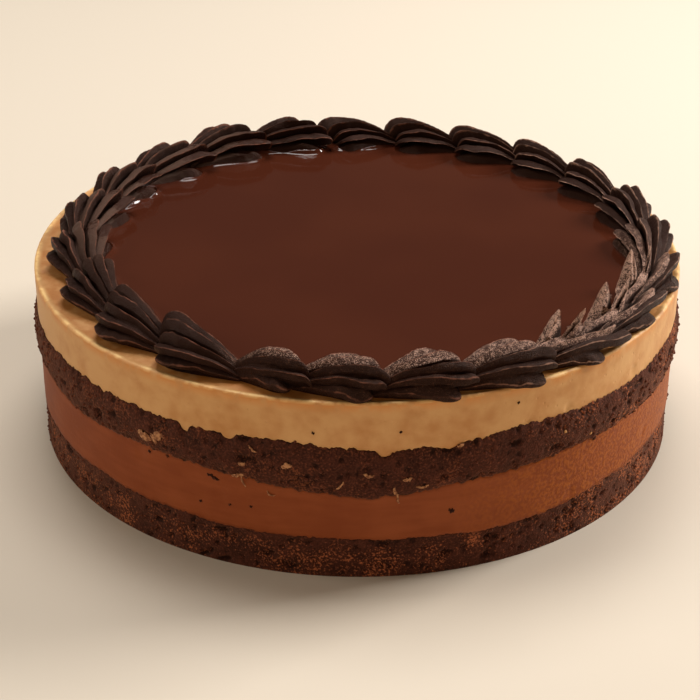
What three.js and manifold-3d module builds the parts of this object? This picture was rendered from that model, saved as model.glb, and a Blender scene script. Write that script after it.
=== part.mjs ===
// Mocha layer cake: two dark sponges with chocolate mousse between them, mocha cream on top,
// a pool of chocolate glaze and a border of piped ganache shells.
// Millimetres, +Z up, with the origin at the centre of the base.
import * as THREE from 'three';
import { mergeVertices } from 'three/addons/utils/BufferGeometryUtils.js';
import Module from 'manifold-3d';

// The cake is a nine inch ring, about two and a half inches tall
const CAKE_RADIUS = 114;
const CAKE_SEGMENTS = 96;
const EDGE_ROUND = 1.4;

// Lines between the layers, seen round the side: the mean height, a ripple with one of its crests
// at crestAt, and one sag that is deepest at sagAt. Azimuths are in degrees from +X.
const BASE_LINE = { level: 0 };
const MOUSSE_FOOT = {
  level: 14.7, ripple: 0.5, ripples: 3, crestAt: 215, sag: 1.4, sagAt: 296, sagWidth: 10,
};
const MOUSSE_TOP = {
  level: 34.2, ripple: 0.6, ripples: 9, crestAt: 236, sag: 5, sagAt: 273, sagWidth: 13,
};
const CREAM_FOOT = {
  level: 48.5, ripple: 0.5, ripples: 9, crestAt: 218, sag: 1.5, sagAt: 280, sagWidth: 11,
};
const CREAM_TOP = { level: 63 };

// Crags of the cut sponge stand proud of the side, or are torn out of it. They are waves round the
// side that lean as they climb: a coarse pair that multiply each other, and a fine one.
const CRAG_DEPTH = 0.7;
const CRAG_ROWS = 4;
const COARSE_SHARE = 0.6;
const CRAG_WAVES = {
  coarse: { count: 13, lean: 9 },
  cross: { count: 7, lean: -5 },
  fine: { count: 41, lean: 23 },
};

// How far a sponge's side swells out at half its height, with a negative one drawn in
const LOWER_BULGE = -0.3;
const UPPER_BULGE = 1.3;
const BULGE_POWER = 3;

// The glaze pools inside the border
const GLAZE_DEPTH = 2.2;
const GLAZE_TUCK = 3;

// The border is two runs of shells on one ring, a little off the cake's centre and swelling out at
// the front. Both runs start with their heads side by side at the back and end with their
// tails together at the front. Statures are heights along a run, as shares of a shell's height, and
// easing makes the pitch longer and then shorter towards the end of a run.
const BORDER_RADIUS = 99.3;
const BORDER_CENTRE = new THREE.Vector2(2.5, -3.5);
const BORDER_SWELL = { reach: 4, at: -70, width: 45 };
const EASING_POWER = 3;
const LEVEL_RUN = [[0, 1], [1, 1]];
const LEFT_STATURES = [[0, 1.22], [0.4, 1.3], [0.6, 1.1], [0.8, 1], [1, 1]];
const RUNS = [
  {
    name: 'right', shells: 14, start: 97.7, sweep: -210.5, easing: 0.3,
    pointed: [8, 9, 10], statures: LEVEL_RUN,
  },
  {
    name: 'left', shells: 9, start: 102.3, sweep: 144.5, easing: 0,
    pointed: [], statures: LEFT_STATURES,
  },
];

// A shell: its width is a share of its pitch along the ring
const SHELL_WIDTH = 0.86;
const SHELL_HEIGHT = 11.4;
const TAIL_TUCK = 5;
const SHELL_SLANT = 0.38;
const SIZE_SPREAD = 0.1;
const TURN_SPREAD = 8;
const SHELL_STATIONS = 9;
const HEAD_CROWDING = 1.35;

// Width and height along a shell, as shares of its largest, from the head at 0 to the tail at 1
const GIRTH = [[0, 0.66], [0.05, 0.91], [0.16, 1], [0.45, 0.8], [0.7, 0.56], [1, 0.3]];
const RISE = [[0, 0.5], [0.05, 0.85], [0.2, 1], [0.4, 0.98], [0.6, 0.86], [0.8, 0.62], [1, 0.24]];

// Ribs lie over a shell like louvres, each with its crest moved towards the inside of the ring
const RIBS = 7;
const RIB_STEP = 32;
const CREST_SHIFT = 0.21;
const GROOVE_DEPTH = 0.45;
const ARCH_POWER = 0.8;
const AXIS_HEIGHT = 0.33;
const FOOT_WIDTH = 0.85;

// How far ahead each rib's head lies, from one side of a shell at 0 to the other at 1, as shares of
// the stagger about a half, and along which stretch of the shell this fades. The ribs of a pointed
// shell lie further apart.
const STAGGER = 6;
const LEADS = [
  [0, 0.5], [0.167, 0.33], [0.333, 0.17], [0.5, 0.5], [0.667, 0.83], [0.833, 0.92], [1, 0],
];
const LEAD_FADE = { from: 0.1, to: 0.7 };
const POINT_STAGGER = 2.2;

// At the head the grooves are set back, so that the ribs end in fingers, less so on the outside
const FINGER_NOTCH = 3.2;
const NOTCH_LENGTH = 0.3;
const OUTER_NOTCH = 0.2;
const HEAD_BOWL = 2.5;

// The two top ribs of a pointed shell lie further back and lower, and turn up in a leaf at the head,
// with deeper notches beside it. The ribs inside them lie lower still.
const POINT_SETBACK = 9.5;
const POINT_LENGTH = 0.2;
const POINT_LIFT = 1.1;
const POINT_POWER = 2;
const POINT_NOTCH = 0.7;
const SECOND_POINT = 0.65;
const LEAF_HEAD = { from: 0.15, to: 0.4 };
const LEAF_DROP = 0.62;
const SECOND_DROP = 0.45;
const LEAF_TAIL = { from: 0.4, to: 0.8 };
const INMOST_DROP = 0.7;

// Clearance where one piece is cut to fit round its neighbour
const GAP = 0.3;

const COLOURS = {
  sponge: { color: 0x3b231a, roughness: 0.95 },
  mousse: { color: 0x6f3a22, roughness: 0.75 },
  cream: { color: 0xc79a62, roughness: 0.65 },
  glaze: { color: 0x3a130b, roughness: 0.08 },
  ganache: { color: 0x21130f, roughness: 0.6 },
};

// Lengths below this are taken as none, and vertices this close are merged
const NONE = 1e-6;
const MERGE = 1e-4;

const radians = THREE.MathUtils.degToRad;
const wasm = await Module();
wasm.setup();

// Seeded draw between -1 and 1, the same on every run
function makeDraw(seed) {
  let state = seed;
  return () => {
    state = (state * 1664525 + 1013904223) % 4294967296;
    return state / 2147483648 - 1;
  };
}
const draw = makeDraw(23);

// Height of a layer line at an azimuth in radians
function lineHeight(line, azimuth) {
  const { level, ripple = 0, ripples = 0, crestAt = 0, sag = 0, sagAt = 0, sagWidth = 1 } = line;
  const wave = ripple * Math.cos(ripples * (azimuth - radians(crestAt)));
  const turn = azimuth - radians(sagAt);
  const away = Math.atan2(Math.sin(turn), Math.cos(turn)) / radians(sagWidth);
  return level + wave - sag * Math.exp(-away * away);
}

// How far the torn sponge stands out at an azimuth and a share of the layer's height
function crag(azimuth, share) {
  const wave = ({ count, lean }) => Math.sin(count * azimuth + lean * share);
  const coarse = wave(CRAG_WAVES.coarse) * wave(CRAG_WAVES.cross);
  return CRAG_DEPTH * (COARSE_SHARE * coarse + (1 - COARSE_SHARE) * wave(CRAG_WAVES.fine));
}

// The side of a sponge, as [share of height, inset]
function crumbSide(bulge) {
  return Array.from({ length: CRAG_ROWS + 1 }, (_, row) => {
    const share = row / CRAG_ROWS;
    return [share, -bulge * (1 - Math.abs(2 * share - 1) ** BULGE_POWER)];
  });
}

// Merge a geometry's shared vertices, with positions alone left
function welded(geometry) {
  geometry.deleteAttribute('normal');
  geometry.deleteAttribute('uv');
  return mergeVertices(geometry, MERGE);
}

function toSolid(geometry) {
  const vertProperties = new Float32Array(geometry.attributes.position.array);
  const triVerts = new Uint32Array(geometry.index.array);
  return new wasm.Manifold(new wasm.Mesh({ numProp: 3, vertProperties, triVerts }));
}

// The largest piece of a solid, as a geometry: scraps left by a cut are dropped
function toGeometry(solid) {
  const pieces = solid.decompose();
  pieces.sort((a, b) => b.volume() - a.volume());
  const mesh = pieces[0].getMesh();
  const geometry = new THREE.BufferGeometry();
  geometry.setAttribute('position', new THREE.BufferAttribute(mesh.vertProperties, 3));
  geometry.setIndex(new THREE.BufferAttribute(mesh.triVerts, 1));
  return geometry;
}

// A turned disc between two layer lines. The side is a list of [share of height, inset] and the
// two faces are cones from the axis to the rim, so that neighbouring layers meet face to face.
function layerGeometry(lower, upper, side, craggy) {
  const rim = side.map(([share, inset]) => new THREE.Vector2(CAKE_RADIUS - inset, share));
  const outline = [new THREE.Vector2(0, 0), ...rim, new THREE.Vector2(0, 1)];
  const geometry = new THREE.LatheGeometry(outline, CAKE_SEGMENTS).rotateX(Math.PI / 2);
  const position = geometry.attributes.position;
  for (let i = 0; i < position.count; i += 1) {
    const point = new THREE.Vector3().fromBufferAttribute(position, i);
    const radius = Math.hypot(point.x, point.y);
    const onAxis = radius < NONE;
    const azimuth = Math.atan2(point.y, point.x);
    const share = point.z;
    const low = onAxis ? lower.level : lineHeight(lower, azimuth);
    const high = onAxis ? upper.level : lineHeight(upper, azimuth);
    const inSide = share > NONE && share < 1 - NONE;
    const reach = craggy && inSide ? radius + crag(azimuth, share) : radius;
    point.x = onAxis ? 0 : reach * Math.cos(azimuth);
    point.y = onAxis ? 0 : reach * Math.sin(azimuth);
    point.z = low + (high - low) * share;
    position.setXYZ(i, point.x, point.y, point.z);
  }
  return welded(geometry);
}

// Value of a list of [place, value] pairs at a place, in straight lines from one to the next
function along(pairs, place) {
  const next = Math.max(pairs.findIndex(([at]) => at >= place), 1);
  const [from, low] = pairs[next - 1];
  const [to, high] = pairs[next];
  return THREE.MathUtils.mapLinear(place, from, to, low, high);
}

// Height of a shell's rib at a station, as a share of the shell's height, with how far the rib lies
// on the outside and how far its head is drawn up
function ribRise(spec, station, rib) {
  const { clamp, lerp, smoothstep } = THREE.MathUtils;
  const level = along(RISE, station);
  const outer = clamp((rib * spec.outward) / 2, 0, 1);
  if (!spec.pointed) {
    return { rise: level, outer, keen: 0 };
  }
  const inmost = clamp(-rib * spec.outward - 1, 0, 1);
  const second = clamp(rib * spec.outward + 1, 0, 1);
  const leaf = 1 - outer - inmost;
  const keen = leaf * Math.max(1 - station / POINT_LENGTH, 0);
  const head = (1 - level) * (1 - smoothstep(station, LEAF_HEAD.from, LEAF_HEAD.to));
  const drop = LEAF_DROP * lerp(1, SECOND_DROP, second);
  const body = drop * (1 - smoothstep(station, LEAF_TAIL.from, LEAF_TAIL.to));
  const point = POINT_LIFT * lerp(1, SECOND_POINT, second) * keen ** POINT_POWER;
  const rise = (level + leaf * (head - body) + point) * (1 - INMOST_DROP * inmost);
  return { rise, outer, keen };
}

// A point of a shell's skin. Place 0 and the last are the feet on the cream, and crests of ribs
// and grooves alternate between them, over the top. A grown shell has its grooves filled.
function shellPoint(spec, station, place, lastPlace, grow) {
  const halfWidth = (spec.width / 2) * along(GIRTH, station) + grow;
  const isFoot = place === 0 || place === lastPlace;
  const lastRib = (RIBS - 1) / 2;
  const rib = THREE.MathUtils.clamp((place - 1) / 2 - lastRib, -lastRib, lastRib);
  const fade = 1 - THREE.MathUtils.smoothstep(station, LEAD_FADE.from, LEAD_FADE.to);
  const stagger = fade * STAGGER * (spec.pointed ? POINT_STAGGER : 1);
  const lead = stagger * (along(LEADS, rib / (RIBS - 1) + 0.5) - 0.5);
  const { rise, outer, keen } = ribRise(spec, station, rib);
  const back = spec.pointed ? POINT_SETBACK * (1 - outer) : 0;
  const ahead = (station - 0.5) * (spec.length + 2 * grow) - lead + back;
  if (isFoot) {
    const foot = Math.sign(rib) * FOOT_WIDTH * halfWidth;
    return new THREE.Vector3(ahead - SHELL_SLANT * foot, foot, grow > 0 ? -1 : 0);
  }
  const isCrest = place % 2 === 1;
  const isOpen = !isCrest && grow === 0;
  const height = spec.height * rise;
  const axis = AXIS_HEIGHT * height;
  const angle = radians((isCrest ? rib - CREST_SHIFT * spec.outward : rib) * RIB_STEP);
  const reach = isOpen ? 1 - GROOVE_DEPTH : 1;
  const lift = Math.sign(Math.cos(angle)) * Math.abs(Math.cos(angle)) ** ARCH_POWER;
  const across = halfWidth * reach * Math.sin(angle);
  const setBack = isOpen ? Math.max(1 - station / NOTCH_LENGTH, 0) : 0;
  const notch = FINGER_NOTCH * setBack * (1 - (1 - OUTER_NOTCH) * outer + POINT_NOTCH * keen);
  const up = axis + (height - axis + grow) * reach * lift;
  return new THREE.Vector3(ahead + notch - SHELL_SLANT * across, across, up);
}

// A cylinder whose skin is moved on to the ribbed shell, with its head at -X and its tail at +X
function shellGeometry(spec, grow = 0) {
  const places = 2 * RIBS + 1;
  const geometry = new THREE.CylinderGeometry(1, 1, 1, places, SHELL_STATIONS);
  const position = geometry.attributes.position;
  for (let i = 0; i < position.count; i += 1) {
    const point = new THREE.Vector3().fromBufferAttribute(position, i);
    const station = Math.max(0.5 - point.y, 0) ** HEAD_CROWDING;
    const onAxis = Math.hypot(point.x, point.z) < NONE;
    const turn = (Math.atan2(point.x, point.z) / (2 * Math.PI) + 1) % 1;
    const place = Math.round(turn * places) % places;
    const skin = shellPoint(spec, station, place, places - 1, grow);
    if (onAxis) {
      const bowl = station < 0.5 && grow === 0 ? HEAD_BOWL : 0;
      const back = spec.pointed ? POINT_SETBACK : 0;
      const axis = AXIS_HEIGHT * spec.height * along(RISE, station);
      skin.set((station - 0.5) * (spec.length + 2 * grow) + bowl + back, 0, axis);
    }
    position.setXYZ(i, skin.x, skin.y, skin.z);
  }
  return welded(geometry);
}

// Azimuth, in degrees, at which a run's shell starts, counting on past the last for the run's end
function headAzimuth(run, index) {
  const share = index / run.shells;
  const easing = run.easing * share ** EASING_POWER * (1 - share);
  return run.start + run.sweep * (share + easing);
}

// A shell's size, and the group that carries it on the border ring
function placeShell(run, index) {
  const head = headAzimuth(run, index);
  const tail = headAzimuth(run, index + 1);
  const middle = radians((head + tail) / 2);
  const pitch = BORDER_RADIUS * radians(Math.abs(tail - head));
  const way = Math.sign(run.sweep);
  const size = 1 + (SIZE_SPREAD / 2) * draw();
  const carrier = new THREE.Group();
  const radial = new THREE.Vector2(Math.cos(middle), Math.sin(middle));
  const turn = middle - radians(BORDER_SWELL.at);
  const away = Math.atan2(Math.sin(turn), Math.cos(turn)) / radians(BORDER_SWELL.width);
  const reach = BORDER_RADIUS + BORDER_SWELL.reach * Math.exp(-away * away);
  const spot = radial.multiplyScalar(reach).add(BORDER_CENTRE);
  carrier.position.set(spot.x, spot.y, CREAM_TOP.level);
  carrier.rotation.z = middle + way * (Math.PI / 2) + radians((TURN_SPREAD / 2) * draw());
  carrier.updateMatrixWorld();
  const spec = {
    width: SHELL_WIDTH * pitch * size,
    height: SHELL_HEIGHT * size * along(run.statures, index / run.shells),
    length: pitch + TAIL_TUCK,
    outward: -way,
    pointed: run.pointed.includes(index + 1),
  };
  const number = String(index + 1).padStart(2, '0');
  return { name: `shell_${run.name}_${number}`, spec, carrier };
}

// One shell's solid with its grown one, seen from another shell's carrier or from the cake
function cutter(shell, carrier) {
  const matrix = shell.carrier.matrixWorld.clone();
  if (carrier) {
    matrix.premultiply(carrier.matrixWorld.clone().invert());
  }
  const own = toSolid(shellGeometry(shell.spec).applyMatrix4(matrix));
  const grown = toSolid(shellGeometry(shell.spec, GAP).applyMatrix4(matrix));
  return own.add(grown);
}

function pieceMesh(name, geometry, finish) {
  const material = new THREE.MeshStandardMaterial({ ...finish, metalness: 0 });
  const mesh = new THREE.Mesh(geometry, material);
  mesh.name = name;
  return mesh;
}

// The four layers
const plainSide = [[0, 0], [1, 0]];
const edgeShare = EDGE_ROUND / (CREAM_TOP.level - CREAM_FOOT.level);
const midRound = 1 - Math.SQRT1_2;
const roundSide = [
  [0, 0],
  [1 - edgeShare, 0],
  [1 - midRound * edgeShare, midRound * EDGE_ROUND],
  [1, EDGE_ROUND],
];
const lowerSide = crumbSide(LOWER_BULGE);
const upperSide = crumbSide(UPPER_BULGE);
const layers = [
  ['sponge_lower', layerGeometry(BASE_LINE, MOUSSE_FOOT, lowerSide, true), COLOURS.sponge],
  ['mousse', layerGeometry(MOUSSE_FOOT, MOUSSE_TOP, plainSide, false), COLOURS.mousse],
  ['sponge_upper', layerGeometry(MOUSSE_TOP, CREAM_FOOT, upperSide, true), COLOURS.sponge],
  ['mocha_cream', layerGeometry(CREAM_FOOT, CREAM_TOP, roundSide, false), COLOURS.cream],
];
const cake = new THREE.Group();
for (const [name, geometry, finish] of layers) {
  cake.add(pieceMesh(name, geometry, finish));
}

// The border: each shell's tail is cut back round the head that was piped over it
const runs = RUNS.map((run) => {
  return Array.from({ length: run.shells }, (_, index) => placeShell(run, index));
});
const [rightRun, leftRun] = runs;
for (const run of runs) {
  run.forEach((shell, index) => {
    let solid = toSolid(shellGeometry(shell.spec));
    const covers = run.slice(index + 1, index + 2);
    if (run === leftRun && index === 0) {
      covers.push(rightRun[0]);
    }
    if (run === leftRun && index === run.length - 1) {
      covers.push(rightRun[rightRun.length - 1]);
    }
    for (const cover of covers) {
      solid = solid.subtract(cutter(cover, shell.carrier));
    }
    shell.carrier.add(pieceMesh(shell.name, toGeometry(solid), COLOURS.ganache));
    cake.add(shell.carrier);
  });
}

// The glaze, cut to the scalloped inside of the border
const glazeRadius = BORDER_RADIUS - GLAZE_TUCK;
const glazeOutline = [
  new THREE.Vector2(0, 0),
  new THREE.Vector2(glazeRadius, 0),
  new THREE.Vector2(glazeRadius, GLAZE_DEPTH),
  new THREE.Vector2(0, GLAZE_DEPTH),
];
const pool = new THREE.LatheGeometry(glazeOutline, CAKE_SEGMENTS).rotateX(Math.PI / 2);
pool.translate(BORDER_CENTRE.x, BORDER_CENTRE.y, CREAM_TOP.level);
let glazeSolid = toSolid(welded(pool));
for (const shell of runs.flat()) {
  glazeSolid = glazeSolid.subtract(cutter(shell, null));
}
cake.add(pieceMesh('glaze', toGeometry(glazeSolid), COLOURS.glaze));

export default cake;
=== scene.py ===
"""The looks of a mocha layer cake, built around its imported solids.

Each layer, the poured glaze and every piped shell is remade at a finer scale over the solid that it
stands for: torn crumb on the sponges, a soft lip on the cream, a meniscus on the glaze and ragged
ribs on the piping. Sizes are in millimetres and are turned into metres as meshes are made. Inside a
finish, places are in metres and patterns are in features for each metre, as its nodes read them.
"""

import logging
import math
from dataclasses import dataclass, field
from enum import Enum
from typing import Any, Iterator, Sequence, Union

import bpy
import numpy as np
from mathutils import Matrix, Vector, noise
from mathutils.bvhtree import BVHTree


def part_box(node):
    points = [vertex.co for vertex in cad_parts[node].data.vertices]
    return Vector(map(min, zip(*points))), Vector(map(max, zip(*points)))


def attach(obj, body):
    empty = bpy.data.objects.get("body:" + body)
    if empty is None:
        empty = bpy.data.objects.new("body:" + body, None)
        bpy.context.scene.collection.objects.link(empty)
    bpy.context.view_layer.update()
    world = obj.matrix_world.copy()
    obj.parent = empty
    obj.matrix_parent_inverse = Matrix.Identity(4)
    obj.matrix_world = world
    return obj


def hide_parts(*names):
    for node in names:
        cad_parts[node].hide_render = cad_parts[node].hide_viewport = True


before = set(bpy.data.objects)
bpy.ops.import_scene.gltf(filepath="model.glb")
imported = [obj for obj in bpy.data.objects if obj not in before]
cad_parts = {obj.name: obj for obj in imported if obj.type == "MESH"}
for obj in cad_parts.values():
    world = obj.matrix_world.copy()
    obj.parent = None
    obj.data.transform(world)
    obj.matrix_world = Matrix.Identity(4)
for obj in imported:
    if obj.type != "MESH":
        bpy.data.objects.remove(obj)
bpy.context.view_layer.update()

MM = 0.001
PER_CM2 = 1e4
SLACK = 1e-4
BODY = "root"

Colour = tuple[float, float, float]
Place = tuple[float, float, float]
Span = tuple[float, float]
Socket = bpy.types.NodeSocket
Number = Union[float, "Field"]

log = logging.getLogger("mocha_cake")


class Run(Enum):
    """The two runs of the piped border, with the way each goes round seen from above."""

    RIGHT = -1
    LEFT = 1


@dataclass(frozen=True)
class Field:
    """A number that flows through a node tree, with arithmetic that adds Math nodes."""

    graph: "Graph"
    socket: Socket

    def __add__(self, other: Number) -> "Field":
        """The sum of two numbers."""
        return self.graph.math("ADD", self, other)

    def __radd__(self, other: Number) -> "Field":
        """The sum of two numbers, the plain one first."""
        return self.graph.math("ADD", other, self)

    def __sub__(self, other: Number) -> "Field":
        """The difference of two numbers."""
        return self.graph.math("SUBTRACT", self, other)

    def __rsub__(self, other: Number) -> "Field":
        """The difference of two numbers, the plain one first."""
        return self.graph.math("SUBTRACT", other, self)

    def __mul__(self, other: Number) -> "Field":
        """The product of two numbers."""
        return self.graph.math("MULTIPLY", self, other)

    def __rmul__(self, other: Number) -> "Field":
        """The product of two numbers, the plain one first."""
        return self.graph.math("MULTIPLY", other, self)

    def __truediv__(self, other: Number) -> "Field":
        """The quotient of two numbers."""
        return self.graph.math("DIVIDE", self, other)


class Graph:
    """A node tree being wired, for a geometry or for a finish."""

    def __init__(self, tree: bpy.types.NodeTree) -> None:
        """Keep the tree that nodes are added to."""
        self.tree = tree

    def node(self, kind: str, **settings: Any) -> bpy.types.Node:
        """Add a node.

        Args:
            kind: The node's type name.
            settings: Attributes to set on the node.

        Returns:
            The new node.
        """
        node = self.tree.nodes.new(kind)
        for name, value in settings.items():
            setattr(node, name, value)
        return node

    def feed(self, socket: Socket, value: Any) -> None:
        """Link something to a socket, or set the socket to a plain value.

        Args:
            socket: The socket that is fed.
            value: A field, another node's socket or a plain value.
        """
        if isinstance(value, Field):
            value = value.socket
        if isinstance(value, Socket):
            self.tree.links.new(value, socket)
        else:
            socket.default_value = value

    def feed_all(self, node: bpy.types.Node, values: dict[str, Any]) -> bpy.types.Node:
        """Feed several of a node's inputs by name.

        Args:
            node: The node.
            values: What each named input gets.

        Returns:
            The node.
        """
        for name, value in values.items():
            self.feed(node.inputs[name], value)
        return node

    def math(self, operation: str, *values: Number, clamp: bool = False) -> Field:
        """Add a Math node.

        Args:
            operation: The Math node's operation.
            values: Its inputs, as fields or plain numbers.
            clamp: Whether the result is kept between 0 and 1.

        Returns:
            The result as a field.
        """
        node = self.node("ShaderNodeMath", operation=operation, use_clamp=clamp)
        for socket, value in zip(node.inputs, values):
            self.feed(socket, value)
        return Field(self, node.outputs[0])

    def vector(self, x: Number, y: Number, z: Number) -> Socket:
        """Three numbers joined into a vector."""
        return self.feed_all(self.node("ShaderNodeCombineXYZ"), {"X": x, "Y": y, "Z": z}).outputs[0]

    def parts(self, vector: Socket) -> tuple[Field, Field, Field]:
        """Split a vector into its three numbers.

        Args:
            vector: The vector's socket.

        Returns:
            The three numbers as fields.
        """
        node = self.node("ShaderNodeSeparateXYZ")
        self.feed(node.inputs[0], vector)
        return tuple(Field(self, socket) for socket in node.outputs)

    def scaled(self, vector: Socket, amount: Number) -> Socket:
        """Multiply a vector by a number.

        Args:
            vector: The vector's socket.
            amount: The number.

        Returns:
            The product's socket.
        """
        node = self.node("ShaderNodeVectorMath", operation="SCALE")
        self.feed(node.inputs[0], vector)
        self.feed(node.inputs["Scale"], amount)
        return node.outputs[0]

    def noise(self, vector: Socket, scale: float, detail: float = 2.0, seed: Number = 0.0) -> Field:
        """Smooth noise about 0.5, in four dimensions so that a seed moves it.

        Args:
            vector: The place it is read at, in metres.
            scale: Features for each metre.
            detail: How many finer octaves are added.
            seed: The fourth coordinate.

        Returns:
            The noise as a field.
        """
        node = self.node("ShaderNodeTexNoise", noise_dimensions="4D")
        self.feed_all(node, {"Vector": vector, "W": seed, "Scale": scale, "Detail": detail})
        return Field(self, node.outputs[0])

    def cells(self, vector: Socket, scale: float) -> tuple[Field, Field]:
        """Distance to the nearest of many scattered points, and a random number for each of them.

        Args:
            vector: The place it is read at, in metres.
            scale: Points for each metre.

        Returns:
            The distance, in cells, and the random number.
        """
        node = self.node("ShaderNodeTexVoronoi")
        self.feed_all(node, {"Vector": vector, "Scale": scale})
        draw = self.parts(node.outputs["Color"])[0]
        return Field(self, node.outputs["Distance"]), draw

    def ramp(self, value: Number, step: Span, low: Number = 0.0, high: float = 1.0) -> Field:
        """A smooth step.

        Args:
            value: The number that is stepped.
            step: Where the step begins and ends.
            low: The result before the step.
            high: The result after it.

        Returns:
            The step as a field.
        """
        node = self.node("ShaderNodeMapRange", interpolation_type="SMOOTHSTEP", clamp=True)
        ends = {"From Min": step[0], "From Max": step[1], "To Min": low, "To Max": high}
        return Field(self, self.feed_all(node, {"Value": value, **ends}).outputs[0])

    def mixed(self, first: Field, second: Field, share: float) -> Field:
        """Two numbers mixed by the share of the second."""
        return first * (1 - share) + second * share

    def curve(self, value: Number, points: Sequence[Span]) -> Field:
        """Read a number through a drawn curve between 0 and 1.

        Args:
            value: The number.
            points: The curve's points, from 0 to 1.

        Returns:
            The curve's height as a field.
        """
        node = self.node("ShaderNodeFloatCurve")
        line = node.mapping.curves[0]
        for x, y in points[1:-1]:
            line.points.new(x, y)
        line.points[0].location = points[0]
        line.points[-1].location = points[-1]
        node.mapping.update()
        self.feed(node.inputs["Value"], value)
        return Field(self, node.outputs[0])

    def blend(self, share: Number, first: Any, second: Any) -> Socket:
        """Mix two colours by a share that varies over the surface.

        Args:
            share: How much of the second colour there is.
            first: The first colour, or a socket that carries it.
            second: The second colour, or a socket that carries it.

        Returns:
            The mixed colour's socket.
        """
        node = self.node("ShaderNodeMix", data_type="RGBA")
        self.feed(node.inputs[0], share)
        for socket, value in ((node.inputs[6], first), (node.inputs[7], second)):
            self.feed(socket, (*value, 1.0) if isinstance(value, tuple) else value)
        return node.outputs[2]


class Recipe(Graph):
    """A Geometry Nodes tree with named inputs, which can be run on an object."""

    def __init__(self, name: str) -> None:
        """Start an empty tree with a geometry in and a geometry out.

        Args:
            name: The tree's name.
        """
        super().__init__(bpy.data.node_groups.new(name, "GeometryNodeTree"))
        self.identifiers: dict[str, str] = {}
        self.inputs = self.node("NodeGroupInput")
        self.output = self.node("NodeGroupOutput")
        for way in ("INPUT", "OUTPUT"):
            self.tree.interface.new_socket("Geometry", in_out=way, socket_type="NodeSocketGeometry")

    def size(self, name: str, kind: str = "NodeSocketFloat") -> Field:
        """Add a named input to the tree.

        Args:
            name: The input's name.
            kind: The type of its socket.

        Returns:
            The input as a field.
        """
        socket = self.tree.interface.new_socket(name, in_out="INPUT", socket_type=kind)
        self.identifiers[name] = socket.identifier
        return Field(self, self.inputs.outputs[name])

    def position(self) -> Socket:
        """The place of each point."""
        return self.node("GeometryNodeInputPosition").outputs[0]

    def normal(self) -> Socket:
        """The way that the surface faces at each point."""
        return self.node("GeometryNodeInputNormal").outputs[0]

    def attribute(self, name: str) -> Field:
        """A named number that the mesh carries on its points."""
        node = self.node("GeometryNodeInputNamedAttribute", data_type="FLOAT")
        return Field(self, self.feed_all(node, {"Name": name}).outputs[0])

    def move(self, geometry: Socket, **places: Socket) -> Socket:
        """A geometry whose points are set to a new Position, or shifted by an Offset."""
        node = self.node("GeometryNodeSetPosition")
        return self.feed_all(node, {"Geometry": geometry, **places}).outputs[0]

    def store(self, geometry: Socket, name: str, value: Field) -> Socket:
        """A geometry that keeps a number on its points under a name, for the finish to read."""
        node = self.node("GeometryNodeStoreNamedAttribute", data_type="FLOAT", domain="POINT")
        return self.feed_all(node, {"Geometry": geometry, "Name": name, "Value": value}).outputs[0]

    def close(self, geometry: Socket, finish: bpy.types.Material) -> None:
        """End the tree: make instances real, set the finish and put the result out.

        Args:
            geometry: What the tree has made.
            finish: Its material.
        """
        real = self.node("GeometryNodeRealizeInstances")
        self.feed(real.inputs[0], geometry)
        dressed = self.node("GeometryNodeSetMaterial")
        self.feed_all(dressed, {"Geometry": real.outputs[0], "Material": finish})
        self.feed(self.output.inputs[0], dressed.outputs[0])

    def run(self, piece: bpy.types.Object, **sizes: float) -> None:
        """Run the tree on a piece and keep the result as its plain mesh.

        Args:
            piece: The object that the tree reads and whose mesh is replaced.
            sizes: Values for the tree's named inputs.
        """
        modifier = piece.modifiers.new(self.tree.name, "NODES")
        modifier.node_group = self.tree
        for name, value in sizes.items():
            modifier[self.identifiers[name]] = value
        graph = bpy.context.evaluated_depsgraph_get()
        shaped = piece.evaluated_get(graph)
        mesh = bpy.data.meshes.new_from_object(shaped, preserve_all_data_layers=True, depsgraph=graph)
        piece.modifiers.clear()
        piece.data = mesh


class Finish:
    """A procedural finish: a Principled shader fed by a few node chains on Object coordinates."""

    def __init__(self, name: str) -> None:
        """Start a material with its shader and its coordinates.

        Args:
            name: The material's name.
        """
        self.material = bpy.data.materials.new(name)
        self.material.use_nodes = True
        self.graph = Graph(self.material.node_tree)
        self.shader = self.material.node_tree.nodes["Principled BSDF"]
        self.place = self.graph.node("ShaderNodeTexCoord").outputs["Object"]

    def set(self, name: str, value: Any) -> None:
        """Set or feed one of the shader's sockets."""
        self.graph.feed(self.shader.inputs[name], value)

    def gloss(self, roughness: Number, specular: float) -> None:
        """Set how rough the surface is and how strongly it mirrors."""
        self.set("Roughness", roughness)
        self.set("Specular IOR Level", specular)

    def attribute(self, name: str) -> Field:
        """A number that the mesh carries on its points."""
        node = self.graph.node("ShaderNodeAttribute", attribute_name=name)
        return Field(self.graph, node.outputs["Fac"])

    def noise(self, scale: float, detail: float = 2.0, seed: float = 0.0) -> Field:
        """Smooth noise over the piece."""
        return self.graph.noise(self.place, scale, detail, seed)

    def toward(self, way: Span, step: Span) -> Field:
        """A smooth step across the cake, the way that a share of X and one of Y give."""
        x, y, _ = self.graph.parts(self.place)
        return self.graph.ramp(x * way[0] + y * way[1], step)

    def bump(self, height: Field, distance: float, strength: float = 1.0) -> None:
        """Roughen the surface by a height field.

        Args:
            height: The height, about 0 to 1.
            distance: What a height of 1 stands for, in millimetres.
            strength: How strongly it is felt.
        """
        node = self.graph.node("ShaderNodeBump")
        self.graph.feed_all(node, {"Strength": strength, "Distance": distance * MM, "Height": height})
        self.set("Normal", node.outputs[0])


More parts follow.
